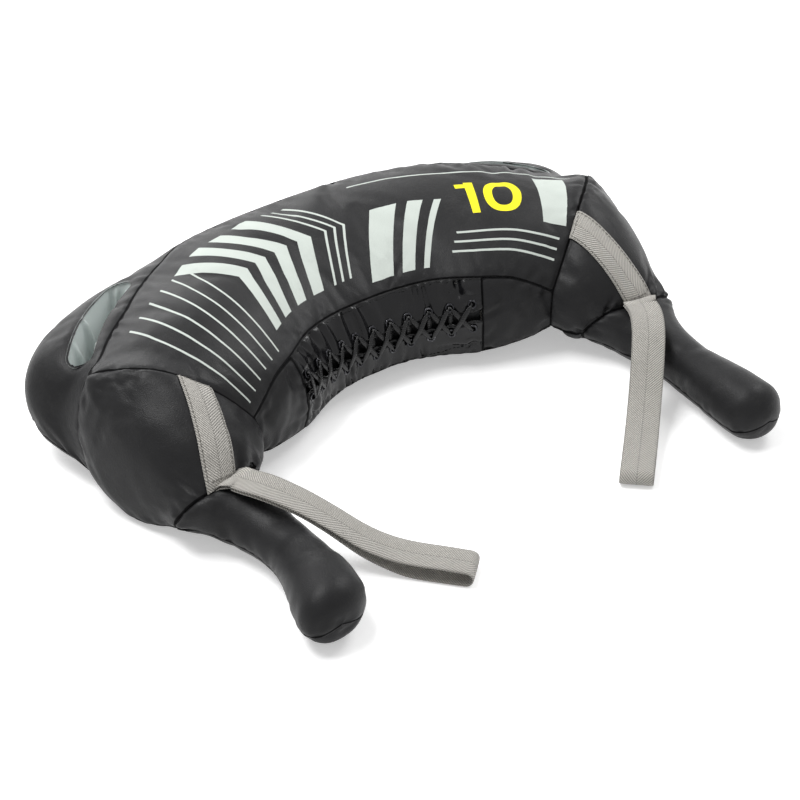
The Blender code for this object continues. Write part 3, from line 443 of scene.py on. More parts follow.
    def wall_shares(self, stations: Array, above: float) -> Array:
        """Shares up the laced wall at a height above the middle of the lacing.

        Args:
            stations: signed stations.
            above: height above the middle of the lacing.

        Returns:
            One share for each station.
        """
        middle = self.lacing_height + self.lacing_rise * (stations / self.eyelet_spread) ** 2
        low = self.rail("low_inner", stations)[..., 2]
        high = self.rail("top_inner", stations)[..., 2]
        return (middle + above - low) / (high - low)

    def ring(self, angles: Array) -> Array:
        """Points of the leaning ring seam at the right hand, before the bag is seated.

        Args:
            angles: angles round the seam.

        Returns:
            One point for each angle.
        """
        width = np.array([math.cos(self.ring_yaw), math.sin(self.ring_yaw), 0]) * self.ring_half_width
        height = np.array([0, -math.sin(self.ring_lean), math.cos(self.ring_lean)])
        height = height * self.ring_half_height
        return (np.array(self.ring_centre) + np.cos(angles)[..., None] * width
                + np.sin(angles)[..., None] * height)

    def yoke(self, side: Side, shares: Array, along: Array) -> Array:
        """Grid of points on one side of the right yoke.

        Args:
            side: which side of the section the yoke continues.
            shares: shares across, one for each column.
            along: shares from the body to the ring seam, one for each row.

        Returns:
            Rows by columns by 3, in the frame.
        """
        first, last, low, high = {
            Side.INNER: (190.0, 145.0, 0.20, 0.35),
            Side.TOP: (145.0, 5.0, 0.35, 1.40),
            Side.OUTER: (5.0, -35.0, 1.40, 1.00),
            Side.BOTTOM: (-35.0, -170.0, 1.00, 0.20),
        }[side]
        one = np.array([1.0])
        start = self.side(side, one, shares)[0] - np.array(self.seat)
        end = self.ring(np.radians(first + (last - first) * shares))
        outward = unit(start - self.middle(one)[0])
        swell = (self.yoke_crown * (low + (high - low) * shares))[:, None]
        a = along[:, None, None]
        point = start * (1 - a) + end * a + outward * swell * 4 * a * (1 - a)
        return self.above_floor(point) + np.array(self.seat)

    def grip(self, hand: Hand, angles: Array, shares: Array) -> Array:
        """Grid of points on the sleeve of a grip.

        Args:
            hand: which grip.
            angles: angles round the sleeve, one for each column.
            shares: stations along it, one for each row.

        Returns:
            Rows by columns by 3, in the frame.
        """
        shorter = self.left_grip_slack if hand is Hand.LEFT else 0.0
        straight = self.grip_length - shorter - self.grip_cap
        turn = np.clip((shares - self.cap_start) / (1 - self.cap_start), 0, 1) * math.pi / 2
        distance = np.where(shares <= self.cap_start, straight * shares / self.cap_start,
                            straight + self.grip_cap * np.sin(turn))
        blunt = self.tip_blunt if hand is Hand.LEFT else 1.0
        factor = np.maximum(np.cos(turn), 0.0) ** blunt
        part = distance / self.grip_length
        ring, neck, bulb = np.moveaxis(follow(GRIP_BLEND_SHARES, part), -1, 0)
        wide = self.tip_spread if hand is Hand.LEFT else 1.0
        half_width = ring * self.ring_half_width + neck * self.neck_radius + bulb * self.bulb_radius * wide
        half_height = ring * self.ring_half_height + neck * self.neck_radius + bulb * self.bulb_radius
        height = (ring * self.ring_centre[2] + neck * self.neck_height
                  + bulb * (self.bulb_radius + self.floor_clearance))
        x = ring * self.ring_centre[0] + (1 - ring) * self.grip_half_span
        x = x - self.grip_bow[hand.value] * follow(GRIP_BOW_SHARES, part)[:, 0]
        centre = np.stack([x, self.ring_centre[1] - distance, height], axis=-1)
        yaw, lean = self.ring_yaw * ring, self.ring_lean * ring
        zero = np.zeros_like(yaw)
        across = np.stack([np.cos(yaw), np.sin(yaw), zero], axis=-1) * (half_width * factor)[:, None]
        up = np.stack([zero, -np.sin(lean), np.cos(lean)], axis=-1) * (half_height * factor)[:, None]
        point = (centre[:, None] + across[:, None] * np.cos(angles)[None, :, None]
                 + up[:, None] * np.sin(angles)[None, :, None])
        point[..., 2] = np.maximum(point[..., 2], self.floor_clearance)
        point[..., 0] *= hand.value
        return point + np.array(self.seat)

    def slot_line(self, hand: Hand, count: int) -> Array:
        """Middle line of a hand slot in plan, in the frame.

        Args:
            hand: side of the bag.
            count: number of points.

        Returns:
            Rows of x and y.
        """
        stations = np.linspace(*self.slot_reach[hand.value], count)
        along = unit(self.rail("top_outer", stations + self.step)
                     - self.rail("top_outer", stations - self.step))
        outward = unit(np.stack([-along[:, 1], along[:, 0], np.zeros(count)], axis=-1))
        offset = np.linspace(*self.slot_offset[hand.value], count)[:, None]
        line = self.rail("top_outer", stations) + outward * offset + np.array(self.seat)
        line[:, 0] *= hand.value
        return line[:, :2]


FORM = BagForm()


class Spine:
    """Middle line of the stuffed bag from one grip to the other."""

    outer_rise, inner_rise, ring_rise = 0.0090, 0.0020, 0.0050
    end_reach, ring_reach = 0.020, 0.013

    def __init__(self) -> None:
        """Take the middles of the sections, and the end and ring seams."""
        seat, one, shares = np.array(FORM.seat), np.array([1.0]), np.linspace(0, 1, 40)
        parts = [FORM.middle(np.linspace(-1, 1, 121)) + seat]
        around = np.linspace(0, 2 * math.pi, 16, endpoint=False)
        self.ends, self.rings = [], []
        for hand in Hand:
            mirror = np.array([hand.value, 1, 1])
            self.ends.append(np.concatenate([FORM.side(side, one, shares)[0] for side in Side]) * mirror)
            ring = FORM.ring(np.linspace(0, 2 * math.pi, 80)) + seat
            self.rings.append(ring * mirror)
            middle = ring[:-1].mean(axis=0) * mirror
            last = parts[0][-1 if hand is Hand.RIGHT else 0]
            share = np.linspace(0, 1, 24)[:, None]
            parts.append(last * (1 - share) + middle * share)
            parts.append(FORM.grip(hand, around, np.linspace(0, 0.97, 60)).mean(axis=1))
        self.line = np.concatenate(parts)

    def outward(self, points: Array) -> Array:
        """Directions from the middle line to points."""
        return unit(points - self.line[nearest(points, self.line)[0]])

    def near(self, loops: list[Array], points: Array, reach: float) -> Array:
        """Share from 1 on a loop to 0 away from it."""
        return np.exp(-(nearest(points, np.concatenate(loops))[1] / reach) ** 2)

    def filled(self, points: Array) -> Array:
        """Points moved outward so that the filling rounds off the end seams and ring seams.

        Args:
            points: points of the cover.

        Returns:
            The moved points.
        """
        outward = self.outward(points)
        aside = outward[..., 0] * np.sign(points[..., 0])
        above = smooth_step((outward[..., 2] + 0.85) / 0.6)
        rise = self.inner_rise + (self.outer_rise - self.inner_rise) * smooth_step((aside + 0.35) / 0.8)
        lift = rise * self.near(self.ends, points, self.end_reach)
        sides = smooth_step((np.abs(outward[..., 0]) - 0.45) / 0.35)
        lift = lift + self.ring_rise * sides * self.near(self.rings, points, self.ring_reach)
        moved = points + outward * (lift * above)[..., None]
        moved[..., 2] = np.maximum(moved[..., 2], FLOOR_GAP)
        return moved


# Sheets of cloth as grids of points

@dataclass
class Seams:
    """How much each border of a sheet is drawn in: first row, last row, first and last column."""

    start: float = 1.0
    end: float = 1.0
    low: float = 1.0
    high: float = 1.0

    def borders(self) -> list[tuple[int, bool, float]]:
        """Axis, whether it is the far border, and the share, for each border."""
        return [(0, False, self.start), (0, True, self.end), (1, False, self.low), (1, True, self.high)]


@dataclass
class Sheet:
    """A panel of cloth as a grid of points, flipped where the grid's own normals point inward."""

    name: str
    points: Array
    flip: bool = False
    seams: Seams = field(default_factory=Seams)

    def normals(self) -> Array:
        """Outward directions on the grid.

        Returns:
            One direction for each point.
        """
        down, across = np.gradient(self.points, axis=0), np.gradient(self.points, axis=1)
        outward = unit(np.cross(down, across))
        return -outward if self.flip else outward

    def lengths(self, axis: int) -> Array:
        """Distance of every point from the first border, measured on the cloth along an axis.

        Args:
            axis: axis of the grid to measure along.

        Returns:
            One distance for each point.
        """
        steps = np.linalg.norm(np.diff(self.points, axis=axis), axis=-1)
        shape = list(self.points.shape[:2])
        shape[axis] = 1
        return np.concatenate([np.zeros(shape), np.cumsum(steps, axis=axis)], axis=axis)

    def flat(self) -> Array:
        """Metres along and across the cloth, along measured on its middle line from its middle.

        Returns:
            Two measures for each point.
        """
        along = self.lengths(0)[:, self.points.shape[1] // 2]
        along = np.broadcast_to((along - along[-1] / 2)[:, None], self.points.shape[:2])
        return np.stack([along, self.lengths(1)], axis=-1)

    def size(self) -> tuple[float, float]:
        """Greatest length down the cloth and across it."""
        return float(self.lengths(0)[-1].max()), float(self.lengths(1)[:, -1].max())

    def border_places(self, axis: int, far: bool) -> tuple[Array, Array]:
        """Places of every point as seen from a border.

        Args:
            axis: 0 for the first or last row, 1 for the first or last column.
            far: whether it is the last one.

        Returns:
            Distance from the border, and distance along it.
        """
        away = self.lengths(axis)
        if far:
            away = np.take(away, [-1], axis=axis) - away
        beside = self.lengths(1 - axis)
        edge = np.take(beside, [-1 if far else 0], axis=axis)
        return away, np.broadcast_to(edge, away.shape)

    def near_seam(self) -> Array:
        """From 1 on a seam to 0 away from it, for every point.

        Returns:
            One share for each point.
        """
        near = np.zeros(self.points.shape[:2])
        for axis, far, share in self.seams.borders():
            if share > 0:
                away, _ = self.border_places(axis, far)
                near = np.maximum(near, 1 - away / SEAM_REACH)
        return near

    def mesh(self, uv: Array | None = None, keep: Array | None = None) -> Object:
        """Object of the sheet with its flat places as the UV map.

        Args:
            uv: flat places to use in place of the sheet's own.
            keep: true for each face, rows by columns, that stays.

        Returns:
            The new object, smooth shaded and linked to the scene.
        """
        faces = grid_faces(*self.points.shape[:2])
        if keep is not None:
            faces = faces[keep.ravel()]
        if self.flip:
            faces = faces[:, ::-1]
        return grid_object(self.name, self.points, faces, self.flat() if uv is None else uv,
                           self.near_seam().ravel())

    def declare(self, piece: Object, held: str) -> None:
        """Measure the flat size of this grid's cloth; nothing is done with it.

        Args:
            piece: not used.
            held: not used.
        """
        length, width = self.size()


def edged(values: Array, share: float = 0.22) -> Array:
    """Grid with one more row and column of values close to each border.

    Args:
        values: grid of points or other values.
        share: where the new values lie on the way from a border to the next row.

    Returns:
        The grid with its new rows and columns.
    """
    for axis in (0, 1):
        grid = np.moveaxis(values, axis, 0)
        first = grid[:1] * (1 - share) + grid[1:2] * share
        last = grid[-1:] * (1 - share) + grid[-2:-1] * share
        values = np.moveaxis(np.concatenate([grid[:1], first, grid[1:-1], last, grid[-1:]]), 0, axis)
    return values


def linked(name: str, data: bpy.types.ID) -> Object:
    """New object in the scene.

    Args:
        name: name of the object.
        data: its mesh, curve or other data.

    Returns:
        The object.
    """
    made = bpy.data.objects.new(name, data)
    bpy.context.scene.collection.objects.link(made)
    return made


def grid_object(name: str, points: Array, faces: Array, uv: Array,
                near: Array | None = None) -> Object:
    """Object made from points, faces and a flat place for every point.

    Args:
        name: name of the object and its mesh.
        points: one row for each point.
        faces: one row of point numbers for each face.
        uv: one flat place for each point.
        near: from 1 on a seam to 0 away from it, for each point.

    Returns:
        The new object, smooth shaded and linked to the scene.
    """
    points, uv = points.reshape(-1, 3), uv.reshape(-1, 2)
    used = np.unique(faces)
    renumbered = np.full(len(points), -1)
    renumbered[used] = np.arange(len(used))
    mesh = bpy.data.meshes.new(name)
    mesh.from_pydata(points[used].tolist(), [], renumbered[faces].tolist())
    layer = mesh.uv_layers.new(name="cut")
    corners = np.zeros(len(mesh.loops), np.int32)
    mesh.loops.foreach_get("vertex_index", corners)
    layer.data.foreach_set("uv", uv[used][corners].astype(np.float32).ravel())
    mesh.polygons.foreach_set("use_smooth", np.ones(len(mesh.polygons), bool))
    # Nearness to a seam, which the coated cloth reads to paint shade along its seams
    if near is not None:
        mesh.attributes.new("near_seam", "FLOAT", "POINT").data.foreach_set(
            "value", near[used].astype(np.float32))
    mesh.update()
    return linked(name, mesh)


@dataclass(frozen=True)
class Stuffing:
    """Cloth simulation that lets the filling press the panels out between their seams."""

    frames: int = 16
    pressure: float = 4.0
    growth: float = 0.016
    stiffness: float = 12.0
    bending: float = 1.6
    swell_share: float = 0.20
    wrinkle_share: float = 0.38
    cap: float = 0.007
    smoothing: int = 10

    def settle(self, sheets: list[Sheet], held: dict[str, Array]) -> dict[str, Array]:
        """Simulate the sheets side by side with their borders held.

        Args:
            sheets: the coarse grids.
            held: for some sheets, how firmly each point is held, apart from the borders.

        Returns:
            How far each point moves, by name of sheet.
        """
        pieces = [self.rig(sheet, held.get(sheet.name)) for sheet in sheets]
        scene = bpy.context.scene
        for number in range(1, self.frames + 1):
            scene.frame_set(number)
        graph = bpy.context.evaluated_depsgraph_get()
        moves = {}
        for sheet, piece in zip(sheets, pieces):
            places = np.zeros(sheet.points.size, np.float32)
            piece.evaluated_get(graph).data.vertices.foreach_get("co", places)
            move = places.reshape(sheet.points.shape).astype(float) - sheet.points
            moves[sheet.name] = self.limited(move)
            LOG.info("%s settled, largest move %.1f mm", sheet.name,
                     np.linalg.norm(moves[sheet.name], axis=-1).max() * 1000)
        for piece in pieces:
            mesh = piece.data
            bpy.data.objects.remove(piece, do_unlink=True)
            bpy.data.meshes.remove(mesh)
        scene.frame_set(1)
        return moves

    def rig(self, sheet: Sheet, held: Array | None) -> Object:
        """Object of a sheet with its held points and cloth settings.

        Args:
            sheet: sheet to settle.
            held: how firmly each point is held, or None for the borders alone.

        Returns:
            The object, ready to be settled.
        """
        piece = sheet.mesh()
        weights = np.zeros(sheet.points.shape[:2])
        weights[[0, -1], :] = 1.0
        weights[:, [0, -1]] = 1.0
        if held is not None:
            weights = np.maximum(weights, held)
        group = piece.vertex_groups.new(name="held")
        for index in np.nonzero(weights.ravel() > 0.5)[0].tolist():
            group.add([index], 1.0, "REPLACE")
        modifier = piece.modifiers.new("settle", "CLOTH")
        for name, value in (("quality", 4), ("vertex_group_mass", group.name), ("pin_stiffness", 1.0),
                            ("tension_stiffness", self.stiffness), ("bending_stiffness", self.bending),
                            ("compression_stiffness", self.stiffness), ("use_pressure", True),
                            ("uniform_pressure_force", self.pressure), ("shrink_min", -self.growth)):
            setattr(modifier.settings, name, value)
        modifier.settings.effector_weights.gravity = 0.0
        modifier.collision_settings.use_collision = False
        modifier.point_cache.frame_start = 1
        modifier.point_cache.frame_end = self.frames
        return piece

    def limited(self, move: Array) -> Array:
        """Moves with their wrinkles kept, their broad swell reduced and their length capped.

        Args:
            move: how far the cloth moved each point.

        Returns:
            The moves that are applied.
        """
        broad = blurred(move, self.smoothing)
        kept = broad * self.swell_share + (move - broad) * self.wrinkle_share
        length = np.linalg.norm(kept, axis=-1, keepdims=True)
        return kept * np.minimum(1.0, self.cap / np.maximum(length, 1e-9))


@dataclass(frozen=True)
class Pucker:
    """Folds that gather into a seam."""

    pitch: float = 0.013
    depth: float = 0.0011
    reach: float = 0.020
    width: float = 0.0034
    slant: float = 0.45
    dip: float = 0.0009
    dip_width: float = 0.0030
    tuck: float = 0.0029


@dataclass(frozen=True)
class Crease:
    """Soft folds that lie loose in a panel."""

    count: int = 12
    depth: float = 0.0016
    length: float = 0.055
    width: float = 0.0075
    slant: float = 0.5


def puckered(sheet: Sheet, pucker: Pucker, crease: Crease, uneven: float, seed: int,
             spine: Spine) -> Sheet:
    """Sheet with its seams drawn in, folds gathered into them and an uneven filling below.

    Args:
        sheet: the fine grid.
        pucker: folds along the seams.
        crease: loose folds in the panel, which run across it.
        uneven: depth of the unevenness of the filling.
        seed: seed of the folds' places.
        spine: middle line that the seams are drawn towards.

    Returns:
        A new sheet on the same grid.
    """
    rng = np.random.default_rng(seed)
    outward = sheet.normals()
    lift = np.zeros(sheet.points.shape[:2])
    from_seams = np.full(lift.shape, np.inf)
    tuck = np.zeros(lift.shape)
    for axis, far, share in sheet.seams.borders():
        if share <= 0:
            continue
        away, beside = sheet.border_places(axis, far)
        from_seams = np.minimum(from_seams, away)
        lift -= pucker.dip * share * np.exp(-(away / pucker.dip_width) ** 2)
        edge = [slice(None), slice(None)]
        edge[axis] = -1 if far else 0
        tuck[tuple(edge)] = pucker.tuck
        total = float(beside.max())
        for _ in range(int(total / pucker.pitch)):
            place, slant = rng.uniform(0, total), rng.normal() * pucker.slant
            reach = pucker.reach * rng.uniform(0.5, 1.7)
            width = pucker.width * rng.uniform(0.7, 1.5) * (1 + away / reach * 0.8)
            depth = pucker.depth * rng.uniform(0.3, 1.5) * share
            fade = np.exp(-(away / reach) ** 2) * smooth_step(away / 0.0025)
            across = beside - place - slant * away
            lift += depth * fade * (0.45 * np.exp(-((np.abs(across) - 1.6 * width) / width) ** 2)
                                    - np.exp(-(across / width) ** 2))
    inside = smooth_step(from_seams / 0.012)
    length, height = sheet.lengths(0), sheet.lengths(1)
    for _ in range(crease.count):
        place = rng.uniform(0.04, 0.96) * length.max(), rng.uniform(0.15, 0.85) * height.max()
        turn = rng.normal() * crease.slant
        size = crease.length * rng.uniform(0.5, 1.4)
        u, v = length - place[0], height - place[1]
        bend = 2.5 * v * v
        across = (u - bend) * math.cos(turn) - v * math.sin(turn)
        run = (u - bend) * math.sin(turn) + v * math.cos(turn)
        width = crease.width * rng.uniform(0.7, 1.3)
        shape = np.exp(-(across / width) ** 2) - 0.5 * np.exp(-((across - 1.7 * width) / width) ** 2)
        lift -= crease.depth * rng.uniform(0.4, 1.2) * shape * np.exp(-(run / size) ** 2) * inside
    cells = [max(4, int(span / 0.045)) for span in (length.max(), height.max())]
    lift += resample(rng.normal(size=cells), *lift.shape) * uneven * inside
    lift *= np.where(np.isfinite(from_seams), smooth_step(from_seams / 0.0008), 1.0)
    places = sheet.points + outward * lift[..., None]
    places = places - spine.outward(sheet.points) * tuck[..., None]
    places[..., 2] = np.maximum(places[..., 2], FLOOR_GAP)
    return Sheet(sheet.name, places, sheet.flip, sheet.seams)


# Shader effects and finishes

class Shader:
    """A material or node group under construction."""

    def __init__(self, tree: bpy.types.NodeTree) -> None:
        """Start on a node tree."""
        self.tree = tree

    def fill(self, node: bpy.types.Node, inputs: dict) -> bpy.types.Node:
        """Set or link inputs of a node.

        Args:
            node: the node.
            inputs: values or sockets, by name or number of input.

        Returns:
            The same node.
        """
        for name, value in inputs.items():
            if isinstance(value, Socket):
                self.tree.links.new(value, node.inputs[name])
            else:
                node.inputs[name].default_value = value
        return node

    def node(self, kind: str, inputs: dict | None = None, **settings: object) -> bpy.types.Node:
        """New node with its properties set and its inputs filled.

        Args:
            kind: the node's type name.
            inputs: values or sockets, by name or number of input.
            settings: properties of the node.

        Returns:
            The node.
        """
        made = self.tree.nodes.new(kind)
        for name, value in settings.items():
            setattr(made, name, value)
        return self.fill(made, inputs or {})

    def maths(self, operation: str, *values: object) -> Socket:
        """Result of a math node."""
        return self.node("ShaderNodeMath", dict(enumerate(values)), operation=operation).outputs[0]

    def fitted(self, *values: object) -> Socket:
        """Value moved smoothly from a range to another: value, low, high, new low and new high."""
        return self.node("ShaderNodeMapRange", dict(enumerate(values)),
                         interpolation_type="SMOOTHSTEP").outputs[0]

    def mixed(self, share: object, first: object, second: object) -> Socket:
        """Mix of two colours."""
        return self.node("ShaderNodeMix", {0: share, 6: first, 7: second}, data_type="RGBA").outputs[2]

    def noise(self, scale: object, detail: float, **others: float) -> Socket:
        """Cloudy values in space.

        Args:
            scale: scale of the clouds, a number or a socket.
            detail: how fine they get.
            others: other inputs of the node by name.

        Returns:
            Socket of the values.
        """
        place = self.node("ShaderNodeTexCoord").outputs["Object"]
        inputs = {"Vector": place, "Scale": scale, "Detail": detail, **others}
        return self.node("ShaderNodeTexNoise", inputs).outputs[0]

    def bump(self, strength: float, depth: float, height: Socket) -> Socket:
        """Surface direction under a relief."""
        inputs = {"Strength": strength, "Distance": depth, "Height": height}
        return self.node("ShaderNodeBump", inputs).outputs[0]

    def group(self, name: str, **inputs: object) -> bpy.types.bpy_prop_collection:
        """Outputs of a shared effect placed in this tree."""
        return self.node("ShaderNodeGroup", inputs, node_tree=bpy.data.node_groups[name]).outputs

    def flat_place(self) -> dict[str, Socket]:
        """Metres along and across the cut cloth.

        Returns:
            The two sockets by name.
        """
        place = self.node("ShaderNodeUVMap", uv_map="cut").outputs[0]
        parts = self.node("ShaderNodeSeparateXYZ", {0: place}).outputs
        return {"Along": parts[0], "Across": parts[1]}


class Effect(Shader):
    """A shared effect under construction, as a node group."""

    def __init__(self, name: str, outputs: tuple[str, ...], **inputs: float) -> None:
        """Make the group with its sockets.

        Args:
            name: name of the node group.
            outputs: names of the outputs.
            inputs: default value of each input.
        """
        super().__init__(bpy.data.node_groups.new(name, "ShaderNodeTree"))
        for key, value in inputs.items():
            socket = self.tree.interface.new_socket(key, in_out="INPUT", socket_type="NodeSocketFloat")
            socket.default_value = value
        for key in outputs:
            self.tree.interface.new_socket(key, in_out="OUTPUT", socket_type="NodeSocketFloat")
        self.given = self.tree.nodes.new("NodeGroupInput").outputs
        self.result = self.tree.nodes.new("NodeGroupOutput")

    def give(self, **outputs: Socket) -> None:
        """Link results to the outputs."""
        self.fill(self.result, outputs)


class SharedEffects:
    """Node groups that several finishes use."""

    def build(self) -> None:
        """Make each group once."""
        for effect in (self.grain, self.handling, self.weave, self.herringbone, self.seam, self.bar):
            effect()

    def grain(self) -> None:
        """Fine pebbled grain of coated cloth, with hairline creases."""
        group = Effect("coated_grain", ("Height", "Tone"), Size=0.0009, Creases=0.5)
        place = group.node("ShaderNodeTexCoord").outputs["Object"]
        scale = group.maths("DIVIDE", 1.0, group.given["Size"])
        cells = group.node("ShaderNodeTexVoronoi", {"Vector": place, "Scale": scale},
                           feature="SMOOTH_F1").outputs["Distance"]
        thin = group.noise(120.0, 3.0, Distortion=1.4)
        line = group.maths("ABSOLUTE", group.maths("SUBTRACT", thin, 0.5))
        crease = group.maths("MULTIPLY", group.fitted(line, 0.0, 0.05, 1.0, 0.0), group.given["Creases"])
        group.give(Height=group.maths("SUBTRACT", cells, crease),
                   Tone=group.noise(38.0, 5.0, Roughness=0.6))

    def handling(self) -> None:
        """Dust that settles on upward faces and rubbed places, as masks."""
        group = Effect("handling", ("Dust", "Rub"), Scale=24.0, Amount=0.5)
        facing = group.node("ShaderNodeNewGeometry").outputs["Normal"]
        up = group.node("ShaderNodeSeparateXYZ", {0: facing}).outputs[2]
        cloud = group.noise(group.given["Scale"], 6.0, Roughness=0.7)
        dust = group.maths("MULTIPLY", group.fitted(up, 0.2, 1.0, 0.0, 1.0),
                           group.fitted(cloud, 0.45, 0.75, 0.0, 1.0))
        dust = group.maths("MULTIPLY", dust, group.fitted(group.noise(420.0, 2.0), 0.4, 0.7, 0.3, 1.0))
        rub = group.fitted(cloud, 0.52, 0.7, 0.0, 1.0)
        group.give(Dust=group.maths("MULTIPLY", dust, group.given["Amount"]),
                   Rub=group.maths("MULTIPLY", rub, group.given["Amount"]))

    def weave(self) -> None:
        """Plain weave of threads along and across the cloth."""
        group = Effect("plain_weave", ("Height", "Tone"), Along=0.0, Across=0.0, Pitch=0.0006)
        along, across = (
            group.maths("MULTIPLY", group.maths("DIVIDE", group.given[key], group.given["Pitch"]), math.pi)
            for key in ("Along", "Across"))
        over = group.maths("MULTIPLY", group.maths("SINE", along), group.maths("SINE", across))
        rib = group.maths("ABSOLUTE", group.maths("COSINE", along))
        group.give(Height=group.maths("ADD", group.maths("MULTIPLY", over, 0.5),
                                      group.maths("MULTIPLY", rib, 0.3)),
                   Tone=group.fitted(over, -1.0, 1.0, 0.0, 1.0))

    def herringbone(self) -> None:
        """Twill ribs that meet in a line down the middle of a webbing."""
        group = Effect("herringbone", ("Height", "Tone", "Spine"), Along=0.0, Across=0.0, Width=0.032,
                       Rib=0.0026)
        along = group.given["Along"]
        middle = group.maths("MULTIPLY", group.given["Width"], 0.5)
        aside = group.maths("ABSOLUTE", group.maths("SUBTRACT", group.given["Across"], middle))
        phase = group.maths("DIVIDE", group.maths("ADD", along, aside), group.given["Rib"])
        rib = group.maths("SINE", group.maths("MULTIPLY", phase, 2 * math.pi))
        thread = group.maths("SINE", group.maths("MULTIPLY", group.maths("SUBTRACT", along, aside),
                                                 2 * math.pi / 0.00075))
        spine = group.fitted(aside, 0.0002, 0.0009, 1.0, 0.0)
        edge = group.fitted(group.maths("SUBTRACT", middle, aside), 0.0004, 0.0016, 1.0, 0.0)
        height = group.maths("ADD", rib, group.maths("MULTIPLY", thread, 0.35))
        height = group.maths("SUBTRACT", height, group.maths("MULTIPLY", spine, 1.4))
        tone = group.maths("ADD", rib, group.maths("MULTIPLY", thread, 0.5))
        group.give(Height=group.maths("ADD", height, group.maths("MULTIPLY", edge, 0.8)),
                   Tone=group.fitted(tone, -1.5, 1.5, 0.0, 1.0),
                   Spine=group.maths("MAXIMUM", spine, edge))

    def seam(self) -> None:
        """Painted seam shade: a thin dark line, as a mask, painted where two pieces of cloth are sewn
        together, for the shade in the seam's groove.
        """
        group = Effect("sewn_line", ("Mask",), Width=0.0034)
        near = group.node("ShaderNodeAttribute", attribute_name="near_seam").outputs["Fac"]
        away = group.maths("MULTIPLY", group.maths("SUBTRACT", 1.0, near), SEAM_REACH)
        edge = group.maths("SUBTRACT", group.maths("DIVIDE", away, group.given["Width"]), 1.0)
        group.give(Mask=group.fitted(edge, 0.0, 0.15, 1.0, 0.0))

    def bar(self) -> None:
        """One slanted bar of a print, as a mask."""
        group = Effect("printed_bar", ("Mask",), Along=0.0, Across=0.0, Start=0.0, End=0.0, Low=0.0,
                       High=0.0, Slant=0.0)
        given = group.given
        raised = group.maths("SUBTRACT", given["Across"], given["Low"])
        shifted = group.maths("SUBTRACT", given["Along"], group.maths("MULTIPLY", raised, given["Slant"]))
        mask = group.maths("GREATER_THAN", shifted, given["Start"])
        for test in (("LESS_THAN", shifted, given["End"]), ("GREATER_THAN", given["Across"], given["Low"]),
                     ("LESS_THAN", given["Across"], given["High"])):
            mask = group.maths("MULTIPLY", mask, group.maths(*test))
        group.give(Mask=mask)


def colour_of(red: int, green: int, blue: int) -> tuple[float, float, float, float]:
    """Scene colour of a screen colour from 0 to 255.

    Args:
        red: red part.
        green: green part.
        blue: blue part.

    Returns:
        Linear colour with a full alpha.
    """
    parts = [value / 255 for value in (red, green, blue)]
    linear = [p / 12.92 if p <= 0.04045 else ((p + 0.055) / 1.055) ** 2.4 for p in parts]
    return (*linear, 1.0)


@dataclass(frozen=True)
class Bar:
    """One slanted bar of a print, in metres along and across its panel."""

    start: float
    end: float
    low: float
    high: float
    slant: float = 0.0


@dataclass(frozen=True)
class Print:
    """Bars in the pale print colour, and where the yellow figures stand."""

    bars: tuple[Bar, ...] = ()
    figures: tuple[float, float] | None = None
    figure_height: float = 0.050


@dataclass(frozen=True)
class Finish:
    """A named finish. Each kind says what goes into the surface."""

    name: str

    def inputs(self, shader: Shader) -> dict[str, object]:
        """Values and sockets for the surface, by name of input."""
        raise NotImplementedError

    def build(self) -> bpy.types.Material:
        """Material of this finish.

        Returns:
            The material.
        """
        material = bpy.data.materials.new(self.name)
        material.use_nodes = True
        shader = Shader(material.node_tree)
        shader.fill(material.node_tree.nodes["Principled BSDF"], self.inputs(shader))
        return material


